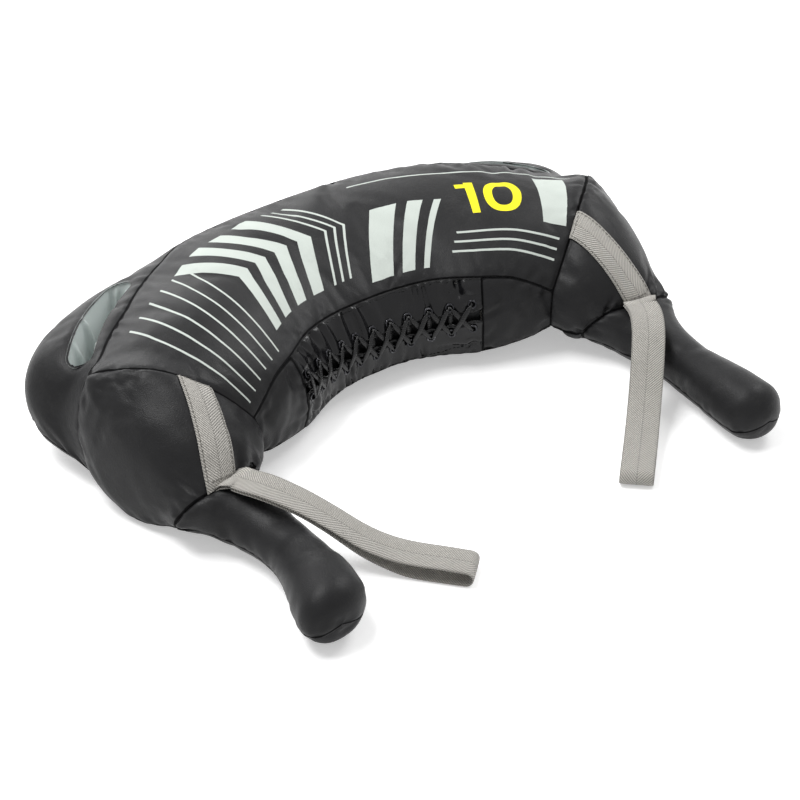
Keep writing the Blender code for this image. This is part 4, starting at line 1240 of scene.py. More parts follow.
@dataclass(frozen=True)
class CoatedCloth(Finish):
    """Black coated cloth, with or without a print."""

    colour: tuple = colour_of(29, 29, 30)
    rub_colour: tuple = colour_of(41, 41, 42)
    # Painted shade: near-black colour and width of the line painted along the seams, for the shade in
    # their grooves
    seam_colour: tuple = colour_of(6, 6, 7)
    seam_width: float = 0.0034
    dust_colour: tuple = colour_of(120, 119, 116)
    print_colour: tuple = colour_of(190, 197, 191)
    figure_colour: tuple = colour_of(244, 232, 40)
    roughness: float = 0.40
    gloss: float = 0.15
    grain_size: float = 0.0009
    grain_depth: float = 0.00018
    creases: float = 0.25
    artwork: Print = Print()

    def inputs(self, shader: Shader) -> dict[str, object]:
        """Grain, rubbed places, print, dust and painted shade along the seams.

        Args:
            shader: nodes of the material.

        Returns:
            Values and sockets by input name.
        """
        grain = shader.group("coated_grain", Size=self.grain_size, Creases=self.creases)
        handling = shader.group("handling", Amount=0.55)
        colour = shader.mixed(handling["Rub"], self.colour, self.rub_colour)
        colour = shader.mixed(shader.fitted(grain["Tone"], 0.3, 0.7, 0.0, 0.25), colour, self.rub_colour)
        rough = shader.fitted(grain["Tone"], 0.3, 0.7, self.roughness - 0.04, self.roughness + 0.05)
        if self.artwork.bars or self.artwork.figures:
            place = shader.flat_place()
            worn = shader.fitted(handling["Rub"], 0.1, 0.6, 1.0, 0.93)
            mask = shader.maths("MULTIPLY", self.bars(shader, place, self.artwork.bars), worn)
            colour = shader.mixed(mask, colour, self.print_colour)
            if self.artwork.figures:
                figure = self.figures(shader, place)
                colour = shader.mixed(shader.maths("MULTIPLY", figure, worn), colour, self.figure_colour)
                mask = shader.maths("MAXIMUM", mask, figure)
            rough = shader.maths("ADD", rough, shader.maths("MULTIPLY", mask, 0.06))
        colour = shader.mixed(shader.maths("MULTIPLY", handling["Dust"], 0.10), colour, self.dust_colour)
        # Painted shade: the colour turns near-black along the seams, for the shade in their grooves
        seam = shader.group("sewn_line", Width=self.seam_width)[0]
        return {"Base Color": shader.mixed(seam, colour, self.seam_colour),
                "Roughness": shader.maths("ADD", rough, shader.maths("MULTIPLY", seam, 0.5)),
                "Normal": shader.bump(0.9, self.grain_depth, grain["Height"]),
                "Specular IOR Level": self.gloss}

    def bars(self, shader: Shader, place: dict[str, Socket], bars: tuple[Bar, ...]) -> Socket:
        """Mask of some bars of a print.

        Args:
            shader: the material.
            place: metres along and across the cloth.
            bars: the bars.

        Returns:
            One on a bar and zero beside them.
        """
        mask = 0.0
        for bar in bars:
            sizes = {key.capitalize(): value for key, value in asdict(bar).items()}
            mask = shader.maths("MAXIMUM", mask, shader.group("printed_bar", **place, **sizes)[0])
        return mask

    def figures(self, shader: Shader, place: dict[str, Socket]) -> Socket:
        """Mask of plain figures for the weight, a one and a zero.

        Args:
            shader: nodes of the material.
            place: places on the cut cloth.

        Returns:
            Socket of the mask.
        """
        start, low = self.artwork.figures
        tall = self.artwork.figure_height
        stroke, wide = tall * 0.17, tall * 0.74
        one = self.bars(shader, place, (
            Bar(start, start + stroke, low, low + tall),
            Bar(start - stroke * 1.1, start + 0.0005, low + tall * 0.80, low + tall * 0.94)))
        middle = start + stroke * 1.9 + wide / 2
        distances = []
        for inset in (0.0, stroke):
            parts = [shader.maths("DIVIDE", shader.maths("SUBTRACT", place[key], centre), size / 2 - inset)
                     for key, centre, size in (("Along", middle, wide), ("Across", low + tall / 2, tall))]
            distances.append(shader.maths("ADD", *(
                shader.maths("POWER", shader.maths("ABSOLUTE", part), 2.4) for part in parts)))
        zero = shader.maths("MULTIPLY", shader.maths("LESS_THAN", distances[0], 1.0),
                            shader.maths("GREATER_THAN", distances[1], 1.0))
        return shader.maths("MAXIMUM", one, zero)


@dataclass(frozen=True)
class WovenCloth(Finish):
    """Woven cloth without a coating: satin, canvas, wadding cover and cord."""

    colour: tuple
    shade: tuple
    pitch: float
    depth: float
    roughness: float
    sheen: float = 0.0
    gloss: float = 0.5

    def inputs(self, shader: Shader) -> dict[str, object]:
        """Weave and rubbed places.

        Args:
            shader: nodes of the material.

        Returns:
            Values and sockets by input name.
        """
        weave = shader.group("plain_weave", **shader.flat_place(), Pitch=self.pitch)
        rub = shader.group("handling", Amount=0.8, Scale=60.0)["Rub"]
        colour = shader.mixed(shader.maths("MULTIPLY", weave["Tone"], 0.55), self.shade, self.colour)
        return {"Base Color": shader.mixed(shader.maths("MULTIPLY", rub, 0.4), colour, self.shade),
                "Roughness": shader.fitted(weave["Tone"], 0.0, 1.0, self.roughness + 0.05,
                                           self.roughness - 0.05),
                "Normal": shader.bump(0.8, self.depth, weave["Height"]),
                "Sheen Weight": self.sheen, "Specular IOR Level": self.gloss}


@dataclass(frozen=True)
class Webbing(Finish):
    """Grey herringbone webbing."""

    name: str = "grey_webbing"
    colour: tuple = colour_of(225, 221, 213)
    shade: tuple = colour_of(138, 135, 129)
    depth: float = 0.00045
    roughness: float = 0.78

    def inputs(self, shader: Shader) -> dict[str, object]:
        """Ribs, the line down the middle and rubbed places.

        Args:
            shader: nodes of the material.

        Returns:
            Values and sockets by input name.
        """
        weave = shader.group("herringbone", **shader.flat_place(), Width=FORM.webbing_width)
        rub = shader.group("handling", Amount=0.9, Scale=45.0)["Rub"]
        colour = shader.mixed(weave["Tone"], self.shade, self.colour)
        colour = shader.mixed(shader.maths("MULTIPLY", weave["Spine"], 0.5), colour, self.shade)
        return {"Base Color": shader.mixed(shader.maths("MULTIPLY", rub, 0.22), colour, self.shade),
                "Normal": shader.bump(0.9, self.depth, weave["Height"]),
                "Roughness": self.roughness, "Sheen Weight": 0.25}


@dataclass(frozen=True)
class Enamel(Finish):
    """Black enamelled metal, rubbed bright on its rims."""

    name: str = "black_eyelet"
    colour: tuple = colour_of(44, 44, 47)
    bare_colour: tuple = colour_of(150, 150, 154)
    roughness: float = 0.18

    def inputs(self, shader: Shader) -> dict[str, object]:
        """Enamel with bare metal at the rubbed places.

        Args:
            shader: nodes of the material.

        Returns:
            Values and sockets by input name.
        """
        rub = shader.group("handling", Amount=0.5, Scale=300.0)["Rub"]
        return {"Base Color": shader.mixed(rub, self.colour, self.bare_colour), "Metallic": 0.85,
                "Roughness": shader.fitted(rub, 0.0, 0.5, self.roughness, self.roughness + 0.15)}


def pinstripe(start: float, bend: float, end: float, low: float, high: float,
              width: float = 0.0022) -> tuple[Bar, ...]:
    """Thin line that runs along a panel and bends once to climb across it.

    Args:
        start: where it starts along the panel.
        bend: where it bends.
        end: where it ends along the panel.
        low: how far across the straight part lies.
        high: how far across the end lies.
        width: width of the line.

    Returns:
        Its two bars.
    """
    slant = (end - bend) / (high - low)
    across = width * math.hypot(1.0, slant)
    bottom, top = min(low, high), max(low, high)
    foot = bend if low < high else end
    first, last = min(start, bend), max(start, bend)
    return (Bar(first, last + width * 0.3, low - width / 2, low + width / 2),
            Bar(foot - across / 2, foot + across / 2, bottom, top, slant=slant))


def arrow(start: float, thick: float, low: float, high: float, slant: float) -> tuple[Bar, ...]:
    """Bar bent to a point at the middle of its height.

    Args:
        start: where its lower end starts along the panel.
        thick: its width along the panel.
        low: how far across it starts.
        high: how far across it ends.
        slant: how fast each half leans.

    Returns:
        Its lower and upper half.
    """
    middle = (low + high) / 2
    tip = start + slant * (middle - low)
    return (Bar(start, start + thick, low, middle, slant=slant),
            Bar(tip, tip + thick, middle, high, slant=-slant))


def top_print() -> Print:
    """Slanted lines, arrows, blocks, long lines and the weight on the top panel.

    Returns:
        The artwork.
    """
    bars = [Bar(-0.262 + 0.019 * index, -0.2596 + 0.019 * index, 0.012, 0.150, slant=0.26)
            for index in range(6)]
    for index in range(4):
        bars += arrow(-0.142 + 0.030 * index, 0.0165, 0.026, 0.152, 0.50)
    for index in range(3):
        bars += arrow(-0.020 + 0.0105 * index, 0.0028, 0.026, 0.152, 0.50)
    for start, thick in ((0.024, 0.027), (0.062, 0.015), (0.088, 0.007)):
        bars.append(Bar(start, start + thick, 0.014, 0.098, slant=0.50))
    for index in range(3):
        low = 0.028 + 0.011 * index
        bars.append(Bar(0.128 + 0.006 * index, 0.262, low, low + 0.0024))
    bars.append(Bar(0.064, 0.262, 0.148, 0.1504))
    bars.append(Bar(0.240, 0.266, 0.066, 0.140, slant=-0.14))
    return Print(bars=tuple(bars), figures=(0.164, 0.074))


def outer_print() -> Print:
    """Lines and a wedge on the outer side panel.

    Returns:
        The artwork.
    """
    bars: list[Bar] = []
    for index in range(3):
        step = 0.010 * index
        bars += pinstripe(-0.02, -0.115 - step, -0.145 - step, 0.048 + step, 0.095)
        bars += pinstripe(0.06, 0.125 + step, 0.155 + step, 0.048 + step, 0.095)
    for index in range(5):
        start = -0.09 + 0.034 * index
        bars.append(Bar(start, start + 0.018, 0.056, 0.086, slant=0.5))
    return Print(bars=tuple(bars))


def bottom_print() -> Print:
    """Lines along the bottom panel.

    Returns:
        The artwork.
    """
    bars: list[Bar] = []
    for index in range(3):
        step = 0.011 * index
        bars += pinstripe(-0.30, -0.12 + step, -0.09 + step, 0.150 + step, 0.215)
        bars += pinstripe(0.32, 0.14 - step, 0.11 - step, 0.150 + step, 0.215)
    return Print(bars=tuple(bars))


class Palette:
    """Every finish of the bag, built once."""

    def __init__(self) -> None:
        """Build the shared effects and the finishes."""
        SharedEffects().build()
        finishes = (
            CoatedCloth("printed_top", artwork=top_print()),
            CoatedCloth("printed_outer", artwork=outer_print()),
            CoatedCloth("printed_bottom", artwork=bottom_print()),
            CoatedCloth("black_leather"),
            # The placket's gloss is its own; its colour and rubbed colour are darker than the other
            # leather as painted shade, for the concave laced wall, which faces down and forward
            CoatedCloth("gloss_placket", colour=colour_of(12, 12, 14), rub_colour=colour_of(20, 20, 22),
                        roughness=0.17, gloss=0.27, creases=0.28, grain_depth=0.00008),
            WovenCloth("satin_lining", colour_of(226, 232, 230), colour_of(182, 190, 188), 0.0004,
                       0.00004, 0.34, sheen=0.4),
            Webbing(),
            Enamel(),
            WovenCloth("black_lace", colour_of(15, 15, 17), colour_of(6, 6, 7), 0.0010, 0.00025, 0.22,
                       gloss=0.32),
            WovenCloth("grey_thread", colour_of(132, 129, 123), colour_of(96, 94, 89), 0.0004,
                       0.0001, 0.6),
            WovenCloth("black_thread", colour_of(24, 24, 26), colour_of(10, 10, 11), 0.0004, 0.0001,
                       0.55, gloss=0.2),
            WovenCloth("pale_wadding", colour_of(226, 224, 217), colour_of(196, 194, 186), 0.002,
                       0.0006, 0.95),
            WovenCloth("canvas", colour_of(172, 158, 132), colour_of(128, 116, 94), 0.0011, 0.0002, 0.9),
        )
        self.materials = {finish.name: finish.build() for finish in finishes}

    def dress(self, piece: Object, finish: str, slot: str, node: str = "", body: str = "shell") -> None:
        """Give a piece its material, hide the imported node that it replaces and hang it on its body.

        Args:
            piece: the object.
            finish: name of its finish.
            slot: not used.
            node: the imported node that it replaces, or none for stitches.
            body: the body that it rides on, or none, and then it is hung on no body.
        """
        piece.data.materials.clear()
        piece.data.materials.append(self.materials[finish])
        if node:
            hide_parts(node)
        if body:
            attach(piece, body)
        LOG.info("%s: %d points", piece.name, len(piece.data.vertices))


# The stuffed cover

@dataclass(frozen=True)
class Cut:
    """How one panel of the cover is made."""

    node: str
    grid: Grid
    pucker: Pucker
    crease: Crease
    uneven: float = 0.0009
    flip: bool = False
    finish: str = "black_leather"
    slot: str = "black_leather"


@dataclass
class Cover:
    """The body's panels, both yokes and both grips."""

    palette: Palette
    spine: Spine
    stuffing: Stuffing = Stuffing()
    seed: int = 100
    spacing: float = 0.0026
    coarse_spacing: float = 0.0065
    held_reach: float = 0.008
    lip_reach: float = 0.0045
    lip_depth: float = 0.0022
    gather: Pucker = Pucker(pitch=0.011, depth=0.0012, reach=0.024, width=0.0036)
    ring_gather: Pucker = Pucker(pitch=0.0085, depth=0.0014, reach=0.022, width=0.0036, slant=0.3)
    grip_gather: Pucker = Pucker(pitch=0.010, depth=0.0011, reach=0.015, width=0.003)
    plain_seam: Pucker = Pucker(pitch=0.016, depth=0.0007, reach=0.018)
    body_crease: Crease = Crease(count=9, depth=0.0007, length=0.05, width=0.011)
    inner_crease: Crease = Crease(count=7, depth=0.0014, length=0.03)
    yoke_crease: Crease = Crease(count=6, depth=0.0007, length=0.055, width=0.012, slant=0.7)
    grip_crease: Crease = Crease(count=6, depth=0.0008, length=0.030, width=0.008, slant=0.5)
    trees: dict = field(default_factory=dict)

    def cuts(self) -> list[Cut]:
        """Every panel, in the order that their folds are drawn in.

        Returns:
            The cuts of all panels.
        """
        made = [Cut(node, partial(self.body_grid, side, -1.0, 1.0), self.plain_seam, self.body_crease,
                    finish=finish, slot="printed_leather")
                for node, side, finish in (("top_panel", Side.TOP, "printed_top"),
                                           ("outer_side_panel", Side.OUTER, "printed_outer"),
                                           ("bottom_panel", Side.BOTTOM, "printed_bottom"))]
        low, high = FORM.seam_angle, math.pi - FORM.seam_angle
        for hand in Hand:
            flip = hand is Hand.LEFT
            first, last = sorted((FORM.placket_end * hand.value, 1.0 * hand.value))
            upper, lower = (partial(self.yoke_grid, hand, sides)
                            for sides in ((Side.INNER, Side.TOP, Side.OUTER), (Side.BOTTOM,)))
            made += [
                Cut(f"{hand.word}_inner_side_panel", partial(self.body_grid, Side.INNER, first, last),
                    self.gather, self.inner_crease),
                Cut(f"{hand.word}_yoke_upper", upper, self.gather if flip else self.ring_gather,
                    self.yoke_crease, 0.0010, flip),
                Cut(f"{hand.word}_yoke_lower", lower, self.gather, Crease(count=5), flip=flip)]
            made += [Cut(f"{hand.word}_grip_{half}", partial(self.grip_grid, hand, start, end),
                         self.grip_gather, self.grip_crease, 0.0007, flip)
                     for half, start, end in (("upper", high, low), ("lower", low, high - 2 * math.pi))]
        return made

    def body_grid(self, side: Side, first: float, last: float, down: int, across: int) -> Array:
        """Side of the body between two stations."""
        return FORM.side(side, np.linspace(first, last, down), np.linspace(0, 1, across))

    def yoke_grid(self, hand: Hand, sides: tuple[Side, ...], down: int, across: int) -> Array:
        """Yoke piece that continues some sides of the body.

        Args:
            hand: which yoke.
            sides: the sides, in order.
            down: rows of the grid.
            across: columns of the grid.

        Returns:
            The grid of points.
        """
        along = np.linspace(0, 1, down)
        fine = [FORM.yoke(side, np.linspace(0, 1, 33), along) for side in sides]
        points = evened(np.concatenate([fine[0]] + [part[:, 1:] for part in fine[1:]], axis=1), across)
        points[..., 0] *= hand.value
        return points

    def grip_grid(self, hand: Hand, start: float, end: float, down: int, across: int) -> Array:
        """Half of a sleeve between two angles, with more rows round its tip.

        Args:
            hand: side of the bag.
            start: angle of the first column.
            end: angle of the last column.
            down: number of rows.
            across: number of columns.

        Returns:
            Grid of points.
        """
        cap = max(6, int(down * 0.26))
        shares = np.concatenate([np.linspace(0, FORM.cap_start, down - cap, endpoint=False),
                                 np.linspace(FORM.cap_start, 1.0, cap)])
        return FORM.grip(hand, np.linspace(start, end, across), shares)

    def counts(self, cut: Cut, spacing: float) -> tuple[int, ...]:
        """Rows and columns that give a panel a spacing."""
        return tuple(max(8, int(size / spacing)) for size in Sheet("trial", cut.grid(40, 24)).size())

    def seams(self, node: str) -> Seams:
        """Which borders of a panel are seams that gather.

        Args:
            node: node of the panel.

        Returns:
            How much each border gathers.
        """
        if "grip" in node:
            return Seams(start=1.2, end=0.0, low=0.5, high=0.5)
        if "yoke" in node:
            return Seams(start=0.4, end=1.7 if node.startswith("right") else 1.3, low=0.6, high=0.6)
        return Seams()

    def build(self) -> None:
        """Settle, pucker, dress and place every panel."""
        cuts = self.cuts()
        coarse = [Sheet(cut.node, cut.grid(*self.counts(cut, self.coarse_spacing)), cut.flip)
                  for cut in cuts]
        held = {sheet.name: (self.slot_distance(sheet.points) < self.held_reach).astype(float)
                for sheet in coarse if sheet.name in SLOTTED}
        moves = self.stuffing.settle(coarse, held)
        for number, cut in enumerate(cuts):
            size = self.counts(cut, self.spacing)
            base = cut.grid(*size)
            flat = edged(Sheet(cut.node, base, cut.flip).flat())
            points = self.spine.filled(edged(base + resample(moves[cut.node], *size)))
            sheet = Sheet(f"{cut.node}_cover", points, cut.flip, self.seams(cut.node))
            sheet = puckered(sheet, cut.pucker, cut.crease, cut.uneven, self.seed + number, self.spine)
            self.trees[cut.node] = surface_tree(sheet)
            piece = self.opened(sheet, flat) if cut.node in SLOTTED else sheet.mesh(uv=flat)
            bends = "grip" in cut.node
            self.palette.dress(piece, cut.finish, cut.slot, cut.node, "" if bends else "shell")
            if bends:
                bend_grip(piece)

    def slot_distance(self, points: Array) -> Array:
        """Signed distance in plan from the outline of the nearer hand slot, negative inside it."""
        return np.minimum.reduce([nearest(points[..., :2], FORM.slot_line(hand, 33))[1]
                                  - FORM.slot_width[hand.value] / 2 for hand in Hand])

    def slot_slope(self, points: Array) -> Array:
        """Level directions away from the middle line of the nearer slot.

        Args:
            points: points of a panel.

        Returns:
            One direction for each point.
        """
        lines = np.concatenate([FORM.slot_line(hand, 33) for hand in Hand])
        away = unit(points[:, :2] - lines[nearest(points[:, :2], lines)[0]])
        return np.concatenate([away, np.zeros((len(points), 1))], axis=-1)

    def opened(self, sheet: Sheet, flat: Array) -> Object:
        """Panel with its hand slots cut out and the cut edges turned in.

        Args:
            sheet: the finished grid.
            flat: its flat places.

        Returns:
            The object.
        """
        distance = self.slot_distance(sheet.points)
        faces = np.maximum.reduce([distance[:-1, :-1], distance[1:, :-1],
                                   distance[:-1, 1:], distance[1:, 1:]])
        points = sheet.points.copy()
        for _ in range(3):
            inside = distance < 0
            points[inside] -= self.slot_slope(points[inside]) * distance[inside][:, None]
            distance = self.slot_distance(points)
        lip = np.exp(-(np.maximum(distance, 0) / self.lip_reach) ** 2)
        sunk = -self.lip_depth * lip * np.sign(sheet.normals()[..., 2])
        points[..., 2] += np.where(lip > 0.01, sunk, 0.0)
        points[..., 2] = np.maximum(points[..., 2], FLOOR_GAP)
        return Sheet(sheet.name, points, sheet.flip).mesh(uv=flat, keep=faces > 0)


def evened(points: Array, across: int) -> Array:
    """Grid with its columns spread evenly along each row, and its corners rounded a little.

    Args:
        points: the grid.
        across: how many columns the new grid has.

    Returns:
        The new grid.
    """
    out = np.zeros((len(points), across, 3))
    for index, row in enumerate(points):
        length = run_length(row)
        out[index] = at(np.linspace(0, length[-1], across), length, row)
    for _ in range(2):
        middle = (out[:, :-2] + 2 * out[:, 1:-1] + out[:, 2:]) / 4
        out = np.concatenate([out[:, :1], middle, out[:, -1:]], axis=1)
    return out


def bend_grip(piece: Object) -> None:
    """Bake the placement of a piece of a grip into its mesh.

    Args:
        piece: the piece of a grip.
    """
    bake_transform(piece)


def surface_tree(sheet: Sheet) -> BVHTree:
    """Surface of a sheet to cast rays at."""
    faces = grid_faces(*sheet.points.shape[:2])
    return BVHTree.FromPolygons(sheet.points.reshape(-1, 3).tolist(), faces.tolist())


def seated_height(tree: BVHTree, point: Array, outward: Array, reach: float = 0.015) -> float:
    """Height of a surface above a point, measured along a direction.

    Args:
        tree: the surface.
        point: the point.
        outward: the direction.
        reach: how far either way the surface is looked for.

    Returns:
        The height, or 0 where the surface isn't met.
    """
    start = Vector(point + outward * reach)
    hit = tree.ray_cast(start, Vector(-outward), reach * 2)[3]
    return 0.0 if hit is None else reach - hit


def rounded_once(piece: Object) -> None:
    """Round a piece by one step of subdivision."""
    smooth = piece.modifiers.new("rounding", "SUBSURF")
    smooth.levels = smooth.render_levels = 1


def strap(name: str, middle: Array, aside: Array, width: float, thickness: float) -> Object:
    """Flat strap with rounded edges along a line.

    Args:
        name: name of the object.
        middle: points of its middle line.
        aside: direction across the strap at each point.
        width: its width.
        thickness: its thickness.

    Returns:
        The new object, with metres along and across as its UV map.
    """
    along = unit(np.gradient(middle, axis=0))
    aside = unit(aside - along * np.sum(aside * along, axis=-1, keepdims=True))
    up = unit(np.cross(aside, along))
    flat = np.linspace(-0.5, 0.5, 11)
    crown = 1.0 - 0.55 * np.abs(2 * flat) ** 8
    across = np.concatenate([flat, flat[::-1]]) * width
    height = np.concatenate([crown, -crown[::-1]]) * thickness / 2
    points = (middle[:, None] + aside[:, None] * across[None, :, None]
              + up[:, None] * height[None, :, None])
    rows, columns = points.shape[:2]
    faces = grid_faces(rows, columns, closed_across=True)[:, [0, 3, 2, 1]]
    for row, turned in ((0, False), (rows - 1, True)):
        low = row * columns + np.arange(columns // 2 - 1)
        high = row * columns + columns - 1 - np.arange(columns // 2 - 1)
        cap = np.stack([low, high, high - 1, low + 1], axis=-1)
        faces = np.concatenate([faces, cap[:, ::-1] if turned else cap])
    uv = np.stack(np.broadcast_arrays(run_length(middle)[:, None], across + width / 2), axis=-1)
    return grid_object(name, points, faces, uv)


def tube(points: Array, aside: Array, wide: Array | float, high: float,
         sides: int) -> tuple[Array, Array, Array]:
    """Points, faces and flat places of a tube of oval section.

    Args:
        points: its middle line.
        aside: direction of the wide axis at each point.
        wide: width of the section, one value or one for each point.
        high: height of the section.
        sides: points round the section.

    Returns:
        Points, faces and flat places, for grid_object.
    """
    along = unit(np.gradient(points, axis=0))
    aside = unit(aside - along * np.sum(aside * along, axis=-1, keepdims=True))
    up = np.cross(aside, along)
    turn = np.linspace(0, 2 * math.pi, sides, endpoint=False)
    wide = np.broadcast_to(wide, len(points))[:, None]
    ring = (points[:, None] + aside[:, None] * (np.cos(turn) * wide / 2)[..., None]
            + up[:, None] * (np.sin(turn) * high / 2)[None, :, None])
    faces = grid_faces(len(points), sides, closed_across=True)[:, [0, 3, 2, 1]]
    uv = np.stack(np.broadcast_arrays(run_length(points)[:, None], turn * wide / 4), axis=-1)
    return ring.reshape(-1, 3), faces, uv.reshape(-1, 2)


@dataclass(frozen=True)
class Thread:
    """Sewing thread: length and thickness of a stitch, and the gap to the next."""

    stitch: float = 0.0030
    gap: float = 0.0011
    radius: float = 0.00034
    sink: float = 0.00012

    def sew(self, name: str, lines: list[tuple[Array, Array]]) -> Object:
        """Rows of stitches along lines.

        Args:
            name: name of the object.
            lines: points and outward directions of each row.

        Returns:
            One object that holds every stitch.
        """
        ends = np.array([0.0, 0.12, 0.5, 0.88, 1.0])
        rise = np.array([-1.6, 0.5, 0.9, 0.5, -1.6]) * self.radius
        points, faces, places, count = [], [], [], 0
        for line, outward in lines:
            length = run_length(line)
            for start in np.arange(self.gap, length[-1] - self.stitch, self.stitch + self.gap):
                wanted = start + ends * self.stitch
                up = unit(at(wanted, length, outward))
                middle = at(wanted, length, line) + up * (rise - self.sink)[:, None]
                aside = np.cross(unit(np.gradient(middle, axis=0)), up)
                ring, quads, uv = tube(middle, aside, self.radius * 2.4, self.radius * 2.0, 5)
                points.append(ring)
                faces.append(quads + count)
                places.append(uv)
                count += len(ring)
        return grid_object(name, *(np.concatenate(part) for part in (points, faces, places)))


@dataclass
class LacedOpening:
    """The concave wall's placket: two flaps, eyelets, one flat lace and the tongue behind."""

    palette: Palette
    spine: Spine
    thread: Thread = Thread()
    eyelet_count: int = 11
    eyelet_bore: float = 0.0050
    eyelet_flange: float = 0.0094
    eyelet_rise: float = 0.0009
    eyelet_depth: float = 0.0022
    eyelet_turns: int = 28
    seed: int = 11
    tongue_seed: int = 31
    spacing: float = 0.0019
    wall_length: float = 0.30
    uneven: float = 0.00035
    tongue_uneven: float = 0.0004
    hem: float = 0.0014
    tongue_depth: float = 0.0075
    tongue_width: float = 0.030
    lace_width: float = 0.0050
    lace_pinch: float = 0.0022
    lace_beside: float = 0.0038
    lace_thickness: float = 0.0015
    scallop: float = 0.0012
    gathers: float = 0.0013
    gather_reach: float = 0.45
    cloth: float = 0.0010
    hem_place: float = 0.0022
    hem_width: float = 0.0017
    hem_turn: float = 0.0022
    stitch_insets: tuple = (0.0034, 0.0052)
    bore_gap: float = 0.0005
    over: tuple = (0.0026, 0.0039, 0.0051, 0.0039, 0.0026)
    under: tuple = (0.0024, 0.0035, 0.0033, 0.0035, 0.0024)
    upright: tuple = (0.0024, 0.0030, 0.0030, 0.0024)
    behind: tuple = (-0.0026, -0.0028, -0.0026)
    far_behind: tuple = (-0.0030, -0.0046, -0.0030)
    tail: tuple = (-0.0030, -0.0040)
    pleats: Pucker = Pucker(pitch=0.0085, depth=0.0021, reach=0.030, width=0.0028, slant=0.12)
    flap_crease: Crease = Crease(count=10, depth=0.0005, length=0.012, width=0.0025, slant=0.2)
    tongue_crease: Crease = Crease(count=16, depth=0.0008, length=0.010, width=0.003, slant=0.2)
    trees: dict = field(default_factory=dict)

    def wall(self, stations: Array, shares: Array) -> tuple[Array, Array]:
        """Places on the laced wall.

        Args:
            stations: signed stations.
            shares: share up the wall at each.

        Returns:
            Points, and directions out of the wall.
        """
        def spot(ahead: float = 0.0, up: float = 0.0) -> Array:
            """Points of the wall, moved along or up it."""
            return FORM.side(Side.INNER, stations + ahead, shares[:, None] + up)[:, 0]

        step = FORM.step
        return spot(), unit(np.cross(spot(step) - spot(-step), spot(0.0, step) - spot(0.0, -step)))

    def eyelet_place(self, column: float, row: int) -> tuple[float, float]:
        """Station and share of an eyelet, row 1 above the gap and -1 below it."""
        station = FORM.eyelet_spread * (2 * column / (self.eyelet_count - 1) - 1)
        return station, float(FORM.wall_shares(np.array([station]), row * FORM.row_gap / 2)[0])

    def eyelet_spot(self, column: int, row: int) -> tuple[Array, Array]:
        """Point of the wall at an eyelet, and the direction out of it."""
        point, outward = self.wall(*np.array([self.eyelet_place(column, row)]).T)
        return point[0], outward[0]

    def build(self) -> None:
        """Make every piece of the opening."""
        self.flaps()
        self.tongue()
        self.eyelets()
        self.lace()

    def flaps(self) -> None:
        """Upper and lower flap with pleats below their seams, a folded hem and stitches."""
        reach = FORM.placket_end
        down = int(2 * reach * self.wall_length / self.spacing)
        stations = np.linspace(-reach, reach, down)
        stitches = []
        phase = np.cos(math.pi * (stations / FORM.eyelet_spread + 1) * (self.eyelet_count - 1))
        wave = -edged(np.broadcast_to(phase[:, None, None], (down, 2, 1)))[:, :1, 0]
        for word, row, columns in (("upper", 1, 24), ("lower", -1, 20)):
            edge = FORM.wall_shares(stations, row * (FORM.flap_gap / 2 + self.scallop * (1 - phase)))
            first, last = (edge, np.ones_like(edge)) if row > 0 else (np.zeros_like(edge), edge)
            share = np.linspace(0, 1, columns)[None]
            shares = first[:, None] * (1 - share) + last[:, None] * share
            seams = Seams(0.8, 0.8, 0.0, 1.0) if row > 0 else Seams(0.8, 0.8, 0.8, 0.0)
            sheet = Sheet(f"placket_flap_{word}", edged(FORM.side(Side.INNER, stations, shares)),
                          seams=seams)
            from_edge = np.abs(edged(shares[..., None])[..., 0] - edged(edge[:, None, None])[:, :1, 0])
            drawn = self.gathers * smooth_step(1 - from_edge / self.gather_reach)
            sheet.points = sheet.points + sheet.normals() * (drawn * wave)[..., None]
            sheet = puckered(sheet, self.pleats, self.flap_crease, self.uneven, self.seed + row,
                             self.spine)
            outward = sheet.normals()
            away, _ = sheet.border_places(1, row < 0)
            welt = self.hem * 0.5 * np.exp(-((away - self.hem_place) / self.hem_width) ** 2)
            sheet.points = sheet.points + outward * welt[..., None]
            edge_column = 0 if row > 0 else -1
            sheet.points[:, edge_column] -= outward[:, edge_column] * self.hem_turn
            self.trees[row] = surface_tree(sheet)
            stitches += self.hem_lines(sheet, row)
            piece = sheet.mesh(keep=self.open_faces(sheet, row))
            self.palette.dress(piece, "gloss_placket", "gloss_placket", f"placket_{word}")
            sheet.declare(piece, "gathered")
        sewn = self.thread.sew("placket_stitching", stitches)
        self.palette.dress(sewn, "black_thread", "black_lace")

    def hem_lines(self, sheet: Sheet, row: int) -> list[tuple[Array, Array]]:
        """Lines of stitches beside the free edge of a flap and beside its seam.

        Args:
            sheet: the flap.
            row: 1 for the upper row, -1 for the lower.

        Returns:
            Points of each line and directions out of the cloth.
        """
        outward = sheet.normals()
        away, _ = sheet.border_places(1, row < 0)
        index = np.arange(len(away))
        lines = []
        from_edge, from_seam = self.stitch_insets
        for distance in (from_edge, float(np.median(away.max(axis=1))) - from_seam):
            column = np.abs(away - distance).argmin(axis=1)
            lines.append((blurred(sheet.points[index, column][:, None], 6)[3:-3, 0],
                          outward[index, column][3:-3]))
        return lines

    def open_faces(self, sheet: Sheet, row: int) -> Array:
        """Faces of a flap that stay, all but those in the eyelets.

        Args:
            sheet: the flap.
            row: 1 for the upper row, -1 for the lower.

        Returns:
            True for each face that stays.
        """
        middle = (sheet.points[:-1, :-1] + sheet.points[1:, 1:]) / 2
        holes = np.array([self.eyelet_spot(column, row)[0] for column in range(self.eyelet_count)])
        return nearest(middle, holes)[1] > self.eyelet_bore / 2 + self.bore_gap

